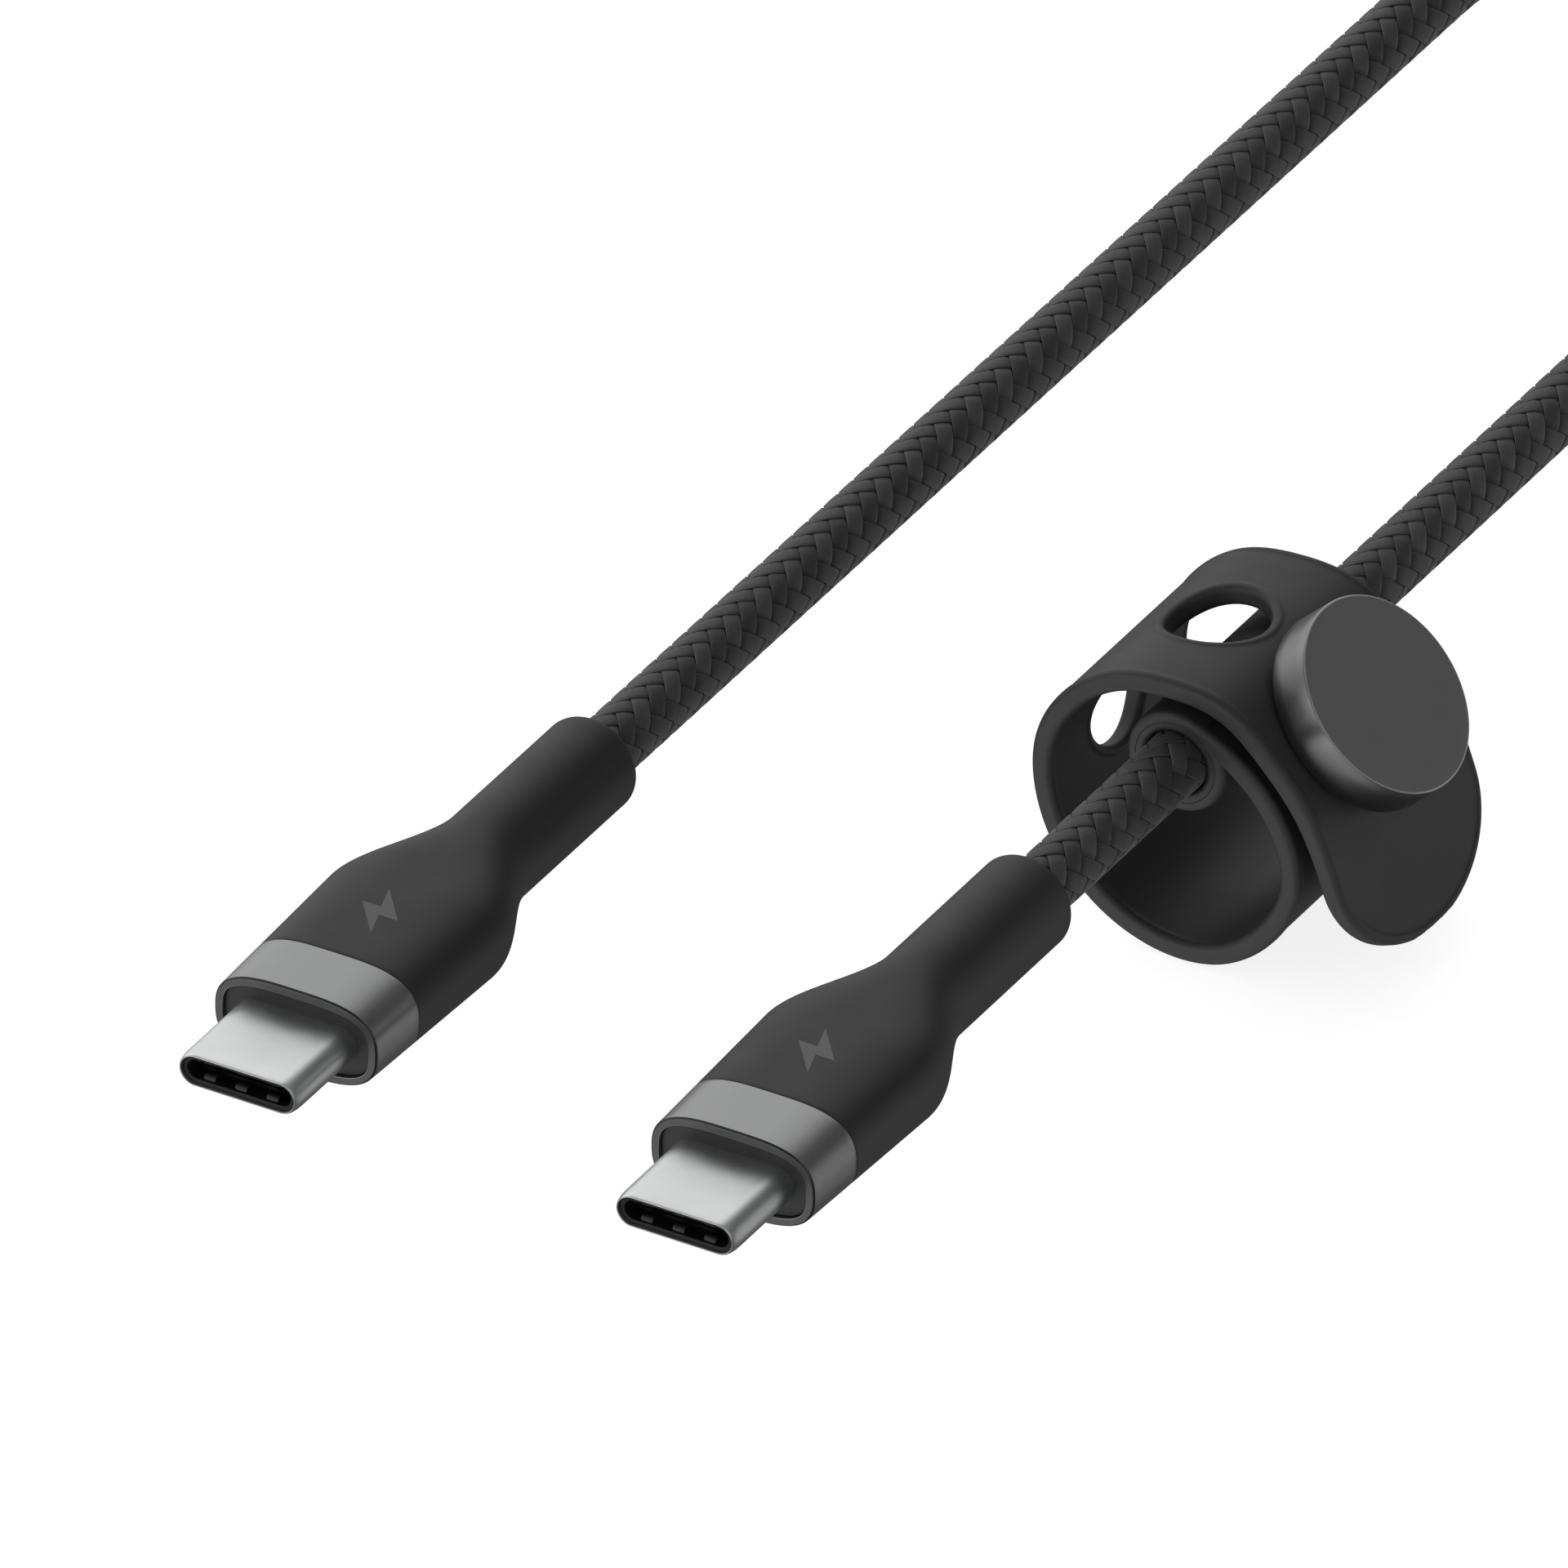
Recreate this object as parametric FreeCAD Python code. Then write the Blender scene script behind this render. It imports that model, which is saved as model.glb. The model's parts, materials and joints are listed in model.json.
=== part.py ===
import FreeCAD, Part
import math
import os

# A 1 m USB-C charging cable: two identical plugs side by side, a braided lead that runs
# back from both of them into one flat coil, and a silicone storage strap on the right lead.
# Millimetres. Origin: centre of the left plug's mouth. The plugs point along -Y, the
# leads run along +Y, and +Z is up.

V = FreeCAD.Vector

# ---- driving dimensions -------------------------------------------------------------
FIT_GAP = 0.03            # space left between pieces that are moulded or pushed together

PLUG_PITCH = 30.0         # from the left plug's axis to the right plug's axis
PLUGS = {"left": 0.0, "right": PLUG_PITCH}

SHELL_W = 8.25            # steel plug shell: the standard's outside size
SHELL_H = 2.40
SHELL_WALL = 0.22
SHELL_END = 10.0          # how far back the shell reaches
MOUTH_W = 6.90            # slot that takes the receptacle's tongue
MOUTH_H = 0.86
MOUTH_START = 0.25        # the insulator's front face
MOUTH_DEPTH = 6.2
HOUSING_END = 9.0

CONTACTS_PER_ROW = 12
CONTACT_PITCH = 0.5
CONTACT_W = 0.26
CONTACT_T = 0.12
CONTACT_START = 1.9
CONTACT_END = 11.4

LATCH_W = 0.20
LATCH_H = 0.30
LATCH_START = 1.2
LATCH_HOOK = 0.15
LATCH_END_GAP = 0.1

SPRING_X = (-2.15, 0.0, 2.15)
SPRING_W = 0.90
SPRING_LEN = 0.60
SPRING_T = 0.16
SPRING_START = 0.45
SPRING_PROUD = 0.05       # how far a pad stands into the mouth

BOARD_W = 7.6
BOARD_T = 0.8
BOARD_START = 9.2
BOARD_END = 16.5
CHIP_SIZE = 2.0
CHIP_T = 0.6
CHIP_START = 12.8

CAN_HALF_W = 4.8
CAN_HALF_H = 2.0
CAN_CORNER = 1.4
CAN_WALL = 0.2
CAN_START = 8.6
CAN_END = 19.4
MOULD_START = 11.6

WIRE_TAIL_R = 0.30
WIRE_TAIL_START = 15.3
WIRE_TAIL_END = 20.9
WIRE_TAIL_Z = 0.75
WIRE_TAILS_TOP = (-1.35, -0.45, 0.45, 1.35)
WIRE_TAILS_BOTTOM = (-0.75, 0.75)

RING_START = 6.7
RING_END = 11.4
RING_INNER_CORNER = 1.5
RING_GAP = 0.1            # from the can to the ring's bore
RING_MOUTH_HALF_W = 5.03  # the wider pocket in the ring's front, for the plate
RING_MOUTH_HALF_H = 2.30
RING_MOUTH_CORNER = 2.1
PLATE_START = 7.0
PLATE_END = 8.5

# The ring and boot share a soft oblong outline. It widens evenly from the ring's front to
# the shoulder, then draws in to a round neck. A squareness of 2 is a true oval and a higher
# one is squarer: across for the ends, upright for the crowned top and bottom.
FRONT_HALF_W = 5.61
FRONT_HALF_H = 2.93
SHOULDER_HALF_W = 6.05
SHOULDER_HALF_H = 3.15
SQUARE_ACROSS = 3.4
SQUARE_UPRIGHT = 2.55
OUTLINE_POINTS = 48
SHOULDER_Y = 20.2
NECK_START = 29.0
NECK_R = 3.18
NECK_END = 41.4
NECK_ROUND = 0.7
BOOT_STATIONS = 14

BADGE_CENTRE_Y = 16.5
BADGE_LENGTH = 4.6
BADGE_DEPTH = 0.15

CRIMP_R = 2.60
CRIMP_START = 19.6
CRIMP_END = 25.0

CABLE_R = 2.03
LEAD_START = 21.0
PITCH_PIVOT_Y = 45.0      # the cable bends up and down here, just behind the boot
YAW_PIVOT_Y = 51.0        # and from side to side here
BEND_GAP = 0.10
ROOT_START = YAW_PIVOT_Y + CABLE_R + BEND_GAP

# Layers of the cable, outside in: (outer radius, inner radius).
SLEEVE = (CABLE_R, 1.66)
JACKET = (1.62, 1.30)
SHIELD = (1.26, 1.16)
POWER_WIRE_R = 0.42
SIGNAL_WIRE_R = 0.24
CORE_SHARE = 0.55         # a wire's copper radius as a share of its outside radius
YARN_R = 0.20
YARN_UP = 0.08
WIRE_GAP = 0.06           # from the shield to the nearest wire
CORE_GAP = 0.01
PAIR_HALF_PITCH = 0.27    # the two data wires lie side by side, low in the cable
PAIR_DOWN = 0.74
LAYER_STEP = 0.4          # each layer is cut back this much further than the one over it

# The coil behind the straight leads, seen from above: each lead steps down to the table,
# swings outwards on a small arc and joins a long round coil of nearly two turns. The coil
# climbs only in its short flat runs.
STRAIGHT_END_Y = 142.0
DROP_LENGTH = 40.0
SWING_R = 40.0
COIL_R = 41.8
COIL_FLAT = 24.0          # length of each flat run between the coil's half circles
COIL_FLOOR_Z = -12.0      # cable centre where the coil rests on the table
COIL_CLIMB = 4.4          # rise in one turn, so the cable clears itself

# Silicone strap, around the right lead.
STRAP_START_Y = 58.6
STRAP_WIDTH = 16.6
STRAP_MID_Y = STRAP_START_Y + STRAP_WIDTH / 2
STRAP_T = 1.4
EYELET_BORE = 2.13
EYELET_SPLIT = 2.70       # the liner turns inside the rest of the eyelet
EYELET_R = 3.35
SPLIT_GAP = 0.05
BAND_STATIONS = 48
# Centre line of the band, seen along the cable, from the cable's axis: it leaves the
# eyelet at the top, goes round under the cable and up the left, and comes over the top
# again outside itself.
BAND_CENTRE = (
    (0.0, 2.65), (2.06, 1.98), (5.0, 0.03), (7.2, -3.1), (7.82, -6.48), (6.26, -10.1),
    (2.6, -12.9), (-2.3, -12.86), (-6.7, -10.0), (-8.99, -5.6), (-9.04, -1.17),
    (-7.2, 2.1), (-4.26, 4.26), (-0.74, 4.90), (3.05, 4.40), (6.22, 1.90),
    (8.55, -0.95), (10.05, -4.0), (10.9, -6.4), (12.8, -11.62),
)
BAND_PIVOT = (-6.55, 2.75)     # where the free end bends back when the strap is opened
HOLE_R = 3.15
HOLE_PLACES = ((-1.8, 4.88), (-9.23, -2.65), (7.10, 0.93))
TAB_ROOT = (10.5, -5.95)       # the pull tab's rounding starts here
TAB_LENGTH = 6.4

BUTTON_BASE = (7.60, 1.45)     # centre of the button's underside
BUTTON_TILT = 43.0             # the button's face looks up and to the right, degrees
BUTTON_R = 6.45
BUTTON_T = 3.0
BUTTON_FLOOR = 0.75
MAGNET_R = 5.2
MAGNET_T = 1.35
MAGNET_GAP = 0.1          # round the magnet, inside the cap
LAYER_GAP = 0.05          # between the stud, the magnet and the cap
NECK_STUD_R = 2.95
STUD_FLANGE_R = 3.5
STUD_FLANGE_T = 0.18
STUD_FLANGE_DROP = 1.92
KEEPER_CENTRE = (5.72, -0.82)
KEEPER_R = 2.5
KEEPER_T = 0.4


# ---- small helpers --------------------------------------------------------------------
def rounded_wire(y, half_w, half_h, corner):
    """A rounded rectangle across the Y axis, as four lines and four arcs."""
    edges = []
    places = ((1, 1), (-1, 1), (-1, -1), (1, -1))
    flat_w = half_w - corner
    flat_h = half_h - corner
    points = []
    for k, (sx, sz) in enumerate(places):
        cx, cz = sx * flat_w, sz * flat_h
        start = math.radians(90 * k)
        arc = []
        for part in (0.0, 0.5, 1.0):
            a = start + part * math.pi / 2
            arc.append(V(cx + corner * math.cos(a), y, cz + corner * math.sin(a)))
        points.append(arc)
    for k, arc in enumerate(points):
        edges.append(Part.Arc(*arc).toShape())
        edges.append(Part.makeLine(arc[2], points[(k + 1) % 4][0]))
    return Part.Wire(edges)


def oblong_wire(y, half_w, half_h, across, upright):
    """A soft oblong across the Y axis, as one closed smooth curve."""
    points = []
    for k in range(OUTLINE_POINTS):
        a = 2 * math.pi * k / OUTLINE_POINTS
        c, s = math.cos(a), math.sin(a)
        points.append(V(math.copysign(half_w * abs(c) ** (2 / across), c), y,
                        math.copysign(half_h * abs(s) ** (2 / upright), s)))
    curve = Part.BSplineCurve()
    curve.interpolate(points, True)
    return Part.Wire(curve.toShape())


def rounded_bar(y0, y1, half_w, half_h, corner):
    """A straight bar along Y with a rounded rectangular section."""
    face = Part.Face(rounded_wire(y0, half_w, half_h, corner))
    return face.extrude(V(0, y1 - y0, 0))


def stadium_bar(y0, y1, width, height):
    """A straight bar along Y whose section has nearly full round ends."""
    return rounded_bar(y0, y1, width / 2, height / 2, height / 2 - 0.01)


def block(x0, x1, y0, y1, z0, z1):
    return Part.makeBox(x1 - x0, y1 - y0, z1 - z0, V(x0, y0, z0))


def rod(y0, y1, r, x=0.0, z=0.0):
    """A round rod along Y."""
    return Part.makeCylinder(r, y1 - y0, V(x, y0, z), V(0, 1, 0))


def ball_ended_rod(y0, pivot_y, x):
    """A length of cable that ends in a half ball centred on its bending point."""
    ball = Part.makeSphere(CABLE_R, V(x, pivot_y, 0))
    return rod(y0, pivot_y, CABLE_R, x).fuse(ball).removeSplitter()


def save(name, shape, x=0.0):
    """Write one node. Several solids in a node are kept as a group."""
    placed = shape.copy()
    placed.translate(V(x, 0, 0))
    placed.exportStep("parts/" + name + ".step")


# ---- plug -----------------------------------------------------------------------------
def plug_contacts():
    """Two rows of flat contacts, above and below the mouth."""
    bars = []
    first = -CONTACT_PITCH * (CONTACTS_PER_ROW - 1) / 2
    for row in (1, -1):
        z0 = MOUTH_H / 2
        z1 = z0 + CONTACT_T
        low, high = sorted((row * z0, row * z1))
        for k in range(CONTACTS_PER_ROW):
            x = first + k * CONTACT_PITCH
            bars.append(block(x - CONTACT_W / 2, x + CONTACT_W / 2,
                              CONTACT_START, CONTACT_END, low, high))
    return bars


def plug_latch_arms():
    """A spring arm on each side of the mouth, with a hook that grips the receptacle."""
    arms = []
    for side in (1, -1):
        inner = MOUTH_W / 2
        x0, x1 = sorted((side * inner, side * (inner + LATCH_W)))
        arm = block(x0, x1, LATCH_START, BOARD_START - LATCH_END_GAP,
                    -LATCH_H / 2, LATCH_H / 2)
        h0, h1 = sorted((side * (inner - LATCH_HOOK), side * inner))
        hook = block(h0, h1, LATCH_START, LATCH_START + 3 * LATCH_HOOK,
                     -LATCH_H / 2, LATCH_H / 2)
        arms.append(arm.fuse(hook).removeSplitter())
    return arms


def plug_ground_springs():
    """Six small ground springs just inside the mouth, three above and three below."""
    pads = []
    for row in (1, -1):
        inner = MOUTH_H / 2 - SPRING_PROUD
        z0, z1 = sorted((row * inner, row * (inner + SPRING_T)))
        for x in SPRING_X:
            pads.append(block(x - SPRING_W / 2, x + SPRING_W / 2, SPRING_START,
                              SPRING_START + SPRING_LEN, z0, z1))
    return pads


def plug_housing(cut_by):
    """The insulator inside the shell, with the mouth and pockets for the metal."""
    inner_w = SHELL_W - 2 * (SHELL_WALL + FIT_GAP)
    inner_h = SHELL_H - 2 * (SHELL_WALL + FIT_GAP)
    body = stadium_bar(MOUTH_START, HOUSING_END, inner_w, inner_h)
    body = body.cut(stadium_bar(MOUTH_START - 1, MOUTH_DEPTH, MOUTH_W, MOUTH_H))
    for piece in cut_by:
        body = body.cut(piece)
    return body


def plug_shell():
    outer = stadium_bar(0, SHELL_END, SHELL_W, SHELL_H)
    inner = stadium_bar(-1, SHELL_END + 1, SHELL_W - 2 * SHELL_WALL,
                        SHELL_H - 2 * SHELL_WALL)
    return outer.cut(inner)


def wire_tails():
    tails = [rod(WIRE_TAIL_START, WIRE_TAIL_END, WIRE_TAIL_R, x, WIRE_TAIL_Z)
             for x in WIRE_TAILS_TOP]
    tails += [rod(WIRE_TAIL_START, WIRE_TAIL_END, WIRE_TAIL_R, x, -WIRE_TAIL_Z)
              for x in WIRE_TAILS_BOTTOM]
    return tails


def inner_can():
    """A thin steel can round the board, with a front wall that the shell passes through."""
    outer = rounded_bar(CAN_START, CAN_END, CAN_HALF_W, CAN_HALF_H, CAN_CORNER)
    hollow = rounded_bar(CAN_START + CAN_WALL, CAN_END + 1, CAN_HALF_W - CAN_WALL,
                         CAN_HALF_H - CAN_WALL, CAN_CORNER - CAN_WALL)
    opening = stadium_bar(CAN_START - 1, CAN_END, SHELL_W + 2 * FIT_GAP,
                          SHELL_H + 2 * FIT_GAP)
    return outer.cut(hollow).cut(opening)


def inner_mould(cut_by):
    """The hard plastic cast round the board and the wires, inside the can."""
    inset = CAN_WALL + FIT_GAP
    body = rounded_bar(MOULD_START, CAN_END - FIT_GAP, CAN_HALF_W - inset,
                       CAN_HALF_H - inset, CAN_CORNER - inset)
    for piece in cut_by:
        body = body.cut(piece)
    return body


def outline(y):
    """Half width, half height and squareness of the ring and boot at a station."""
    widen = min((y - RING_START) / (SHOULDER_Y - RING_START), 1.0)
    draw = min(max((y - SHOULDER_Y) / (NECK_START - SHOULDER_Y), 0.0), 1.0)
    draw = draw * draw * (3 - 2 * draw)
    sizes = []
    for front, shoulder, neck in (
            (FRONT_HALF_W, SHOULDER_HALF_W, NECK_R),
            (FRONT_HALF_H, SHOULDER_HALF_H, NECK_R),
            (SQUARE_ACROSS, SQUARE_ACROSS, 2.0),
            (SQUARE_UPRIGHT, SQUARE_UPRIGHT, 2.0)):
        body = front + (shoulder - front) * widen
        sizes.append(body + (neck - body) * draw)
    return sizes


def trim_ring():
    """The metal ring: a pocket in front for the plate, and a closer bore round the can."""
    ends = [oblong_wire(y, *outline(y)) for y in (RING_START, RING_END)]
    outer = Part.makeLoft(ends, True, True)
    inner = rounded_bar(RING_START - 1, RING_END + 1, CAN_HALF_W + RING_GAP,
                        CAN_HALF_H + RING_GAP, RING_INNER_CORNER)
    pocket = rounded_bar(RING_START - 1, PLATE_END, RING_MOUTH_HALF_W,
                         RING_MOUTH_HALF_H, RING_MOUTH_CORNER)
    return outer.cut(inner).cut(pocket)


def face_plate():
    """The dark plate in the ring's mouth, a little behind its front edge."""
    body = rounded_bar(PLATE_START, PLATE_END - FIT_GAP, RING_MOUTH_HALF_W - FIT_GAP,
                       RING_MOUTH_HALF_H - FIT_GAP, RING_MOUTH_CORNER - FIT_GAP)
    return body.cut(stadium_bar(PLATE_START - 1, PLATE_END + 1,
                                SHELL_W + 2 * FIT_GAP, SHELL_H + 2 * FIT_GAP))


def boot_blank():
    """The soft boot's outside: a flat body that draws in to a round neck."""
    stations = []
    for k in range(BOOT_STATIONS + 1):
        y = RING_END + (NECK_START - RING_END) * k / BOOT_STATIONS
        stations.append(oblong_wire(y, *outline(y)))
    body = Part.makeLoft(stations, True, False)
    straight_end = NECK_END - NECK_ROUND
    neck = [oblong_wire(y, *outline(NECK_START)) for y in (NECK_START, straight_end)]
    lip = []
    for degrees in (0, 25, 50, 75, 90):
        a = math.radians(degrees)
        r = NECK_R - NECK_ROUND * (1 - math.cos(a))
        lip.append(oblong_wire(straight_end + NECK_ROUND * math.sin(a), r, r, 2, 2))
    for part in (neck, lip):
        body = body.fuse(Part.makeLoft(part, True, True))
    return body


def boot_hollow():
    """The space inside the boot for the can, the crimp and the cable."""
    can = rounded_bar(RING_END - 1, CAN_END + FIT_GAP, CAN_HALF_W + FIT_GAP,
                      CAN_HALF_H + FIT_GAP, CAN_CORNER + FIT_GAP)
    crimp = rod(CAN_END, CRIMP_END + FIT_GAP, CRIMP_R + FIT_GAP)
    lead = rod(CRIMP_END - 1, NECK_END + 1, CABLE_R + FIT_GAP)
    return can.fuse(crimp).fuse(lead)


def bolt_prism():
    """A plain lightning bolt, as a tall prism to cut the badge with."""
    # Corners in units of the bolt's length: across, and along from the tip end.
    corners = ((0.16, -0.50), (-0.32, 0.09), (-0.04, 0.09), (-0.16, 0.50),
               (0.32, -0.09), (0.04, -0.09))
    floor_z = outline(BADGE_CENTRE_Y)[1] - BADGE_DEPTH
    ring = [V(x * BADGE_LENGTH, BADGE_CENTRE_Y + y * BADGE_LENGTH, floor_z)
            for x, y in corners]
    return Part.Face(Part.makePolygon(ring + ring[:1])).extrude(V(0, 0, 2))


def build_plug(side, x):
    contacts = plug_contacts()
    latches = plug_latch_arms()
    springs = plug_ground_springs()
    board = block(-BOARD_W / 2, BOARD_W / 2, BOARD_START, BOARD_END,
                  -BOARD_T / 2, BOARD_T / 2)
    chip_z = BOARD_T / 2 + FIT_GAP
    chip = block(-CHIP_SIZE / 2, CHIP_SIZE / 2, CHIP_START, CHIP_START + CHIP_SIZE,
                 chip_z, chip_z + CHIP_T)
    tails = wire_tails()
    crimp = rod(CRIMP_START, CRIMP_END, CRIMP_R).cut(
        rod(CRIMP_START - 1, CRIMP_END + 1, CABLE_R + FIT_GAP))
    blank = boot_blank()
    bolt = bolt_prism()
    pieces = {
        "shell": plug_shell(),
        "tongue_housing": plug_housing(contacts + latches + springs),
        "contacts": Part.makeCompound(contacts),
        "latch_arms": Part.makeCompound(latches),
        "ground_springs": Part.makeCompound(springs),
        "paddle_board": board,
        "marker_chip": chip,
        "inner_can": inner_can(),
        "inner_mould": inner_mould([board, chip] + tails),
        "trim_ring": trim_ring(),
        "face_plate": face_plate(),
        "boot": blank.cut(boot_hollow()).cut(bolt),
        "badge": blank.common(bolt),
        "crimp": crimp,
        "wire_tails": Part.makeCompound(tails),
        "lead_stub": ball_ended_rod(LEAD_START, PITCH_PIVOT_Y, 0.0),
        "flex_link": ball_ended_rod(PITCH_PIVOT_Y + CABLE_R + BEND_GAP, YAW_PIVOT_Y, 0.0),
    }
    for name, shape in pieces.items():
        save(side + "_" + name, shape, x)


# ---- cable ----------------------------------------------------------------------------
UP = V(0, 0, 1)


def cable_moves(cut_back):
    """The cable's path from the left lead's end to the right one's. A run is straight, a
    step is a level change in two arcs, and a turn's radius is negative to the left."""
    half_flat = COIL_FLAT / 2
    swing = math.acos((PLUG_PITCH / 2 - half_flat + SWING_R) / (SWING_R + COIL_R))
    climb = COIL_CLIMB / 2
    coil_top_z = COIL_FLOOR_Z + 3 * climb
    straight = STRAIGHT_END_Y - ROOT_START - cut_back
    part_turn = math.pi / 2 + swing
    return [
        ("run", straight, 0.0),
        ("step", DROP_LENGTH, COIL_FLOOR_Z),
        ("turn", -SWING_R, swing),
        ("turn", COIL_R, part_turn),
        ("step", COIL_FLAT, climb),
        ("turn", COIL_R, math.pi),
        ("step", COIL_FLAT, climb),
        ("turn", COIL_R, math.pi),
        ("step", COIL_FLAT, climb),
        ("turn", COIL_R, part_turn),
        ("turn", -SWING_R, swing),
        ("step", DROP_LENGTH, -coil_top_z),
        ("run", straight, 0.0),
    ]


def cable_sweeps(cut_back):
    """The same path as shifts (by a vector) and turns (centre, axis, angle in degrees)."""
    place = V(0, ROOT_START + cut_back, 0)
    heading = V(0, 1, 0)
    sweeps = []
    for kind, size, amount in cable_moves(cut_back):
        right = heading.cross(UP)
        if kind == "run":
            sweeps.append((heading * size, None, 0.0))
            place = place + heading * size
            continue
        if kind == "turn":
            arcs = [(right * size, UP, -math.copysign(amount, size))]
        else:
            bend = 2 * math.atan(amount / size)
            radius = size / (2 * math.sin(bend))
            middle_up = FreeCAD.Rotation(right, math.degrees(bend)).multVec(UP)
            arcs = [(UP * radius, right, bend), (middle_up * -radius, right, -bend)]
        for to_centre, axis, angle in arcs:
            centre = place + to_centre
            turn = FreeCAD.Rotation(axis, math.degrees(angle))
            sweeps.append((centre, axis, math.degrees(angle)))
            place = centre + turn.multVec(place - centre)
            heading = turn.multVec(heading)
    return sweeps


def strand(across, up, cut_back, outer_r, inner_r=None):
    """A solid or hollow round strand that keeps its place beside the cable's centre."""
    start = V(across, ROOT_START + cut_back, up)
    place = start
    edges = []
    for first, axis, angle in cable_sweeps(cut_back):
        if axis is None:
            end = place + first
            edges.append(Part.makeLine(place, end))
        else:
            half_way = first + FreeCAD.Rotation(axis, angle / 2).multVec(place - first)
            end = first + FreeCAD.Rotation(axis, angle).multVec(place - first)
            edges.append(Part.Arc(place, half_way, end).toShape())
        place = end
    centre_line = Part.Wire(edges)

    def filled(radius):
        rim = Part.Wire(Part.Circle(start, V(0, 1, 0), radius).toShape())
        return centre_line.makePipe(Part.Face(rim))

    if inner_r is None:
        return filled(outer_r)
    return filled(outer_r).cut(filled(inner_r))


def build_cable():
    save("cable_sleeve", strand(0, 0, 0, *SLEEVE))
    save("cable_jacket", strand(0, 0, LAYER_STEP, *JACKET))
    save("cable_shield", strand(0, 0, 2 * LAYER_STEP, *SHIELD))
    bared = 3 * LAYER_STEP

    def wires(radius, places):
        copper_r = radius * CORE_SHARE
        insulation = [strand(x, z, bared, radius, copper_r + CORE_GAP) for x, z in places]
        cores = [strand(x, z, bared, copper_r) for x, z in places]
        return insulation, cores

    power_at = SHIELD[1] - POWER_WIRE_R - WIRE_GAP
    signal_at = SHIELD[1] - SIGNAL_WIRE_R - WIRE_GAP
    pair_at = PAIR_HALF_PITCH
    power, power_cores = wires(POWER_WIRE_R, [(-power_at, 0.0)])
    ground, ground_cores = wires(POWER_WIRE_R, [(power_at, 0.0)])
    control, control_cores = wires(SIGNAL_WIRE_R, [(0.0, signal_at)])
    data, data_cores = wires(SIGNAL_WIRE_R, [(-pair_at, -PAIR_DOWN), (pair_at, -PAIR_DOWN)])
    save("power_wire", power[0])
    save("ground_wire", ground[0])
    save("control_wire", control[0])
    save("data_pair", Part.makeCompound(data))
    save("copper_cores", Part.makeCompound(power_cores + ground_cores
                                           + control_cores + data_cores))
    save("strength_yarn", strand(0.0, YARN_UP, bared, YARN_R))


# ---- strap ----------------------------------------------------------------------------
def strap_point(place, y):
    """A point given across and up from the cable's axis, at a distance along it."""
    return V(PLUG_PITCH + place[0], y, place[1])


def band_curve():
    curve = Part.BSplineCurve()
    curve.interpolate([strap_point(p, STRAP_START_Y) for p in BAND_CENTRE])
    return curve


def normal_at(curve, u):
    """The unit vector square to the band, on its outer side."""
    along = curve.tangent(u)[0]
    return V(-along.z, 0, along.x).normalize()


def band_solid(curve, u0, u1, round_end):
    """The band between two places on its centre line. One end can be half round."""
    sides = ([], [])
    for k in range(BAND_STATIONS + 1):
        u = u0 + (u1 - u0) * k / BAND_STATIONS
        shift = normal_at(curve, u) * (STRAP_T / 2)
        sides[0].append(curve.value(u) + shift)
        sides[1].append(curve.value(u) - shift)
    edges = []
    for side in sides:
        edge = Part.BSplineCurve()
        edge.interpolate(side)
        edges.append(edge.toShape())
    edges.append(Part.makeLine(sides[0][0], sides[1][0]))
    if round_end:
        tip = curve.value(u1) + curve.tangent(u1)[0] * (STRAP_T / 2)
        edges.append(Part.Arc(sides[0][-1], tip, sides[1][-1]).toShape())
    else:
        edges.append(Part.makeLine(sides[0][-1], sides[1][-1]))
    face = Part.Face(Part.Wire(Part.__sortEdges__(edges)))
    return face.extrude(V(0, STRAP_WIDTH, 0))


def hole_pin(curve, place):
    """The pin that cuts one round hole through the band at mid width."""
    u = curve.parameter(strap_point(place, STRAP_START_Y))
    out = normal_at(curve, u)
    centre = curve.value(u) + V(0, STRAP_WIDTH / 2, 0)
    return Part.makeCylinder(HOLE_R, 2 * STRAP_T, centre - out * STRAP_T, out)


def tab_trim():
    """What is cut away to give the pull tab its rounded end."""
    root = V(PLUG_PITCH + TAB_ROOT[0], STRAP_MID_Y, TAB_ROOT[1])
    tip = V(PLUG_PITCH + BAND_CENTRE[-1][0], STRAP_MID_Y, BAND_CENTRE[-1][1])
    along = (tip - root).normalize()
    out = V(-along.z, 0, along.x)
    reach = 12.0
    depth = 3.0
    half = STRAP_WIDTH / 2
    corner = root - out * depth - V(0, half + 1, 0)
    sheet = Part.makePolygon([corner, corner + along * reach,
                              corner + along * reach + V(0, 2 * half + 2, 0),
                              corner + V(0, 2 * half + 2, 0), corner])
    slab = Part.Face(sheet).extrude(out * 2 * depth)
    oval = Part.Ellipse(root - out * depth + V(0, half, 0),
                        root - out * depth + along * TAB_LENGTH, root - out * depth)
    keep = Part.Face(Part.Wire(oval.toShape())).extrude(out * 2 * depth)
    return slab.cut(keep)


def button_disc(radius, low, high):
    """A round slice of the button, between two heights over its underside."""
    tilt = math.radians(BUTTON_TILT)
    out = V(math.cos(tilt), 0, math.sin(tilt))
    base = V(PLUG_PITCH + BUTTON_BASE[0], STRAP_MID_Y, BUTTON_BASE[1])
    return Part.makeCylinder(radius, high - low, base + out * low, out)


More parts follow.
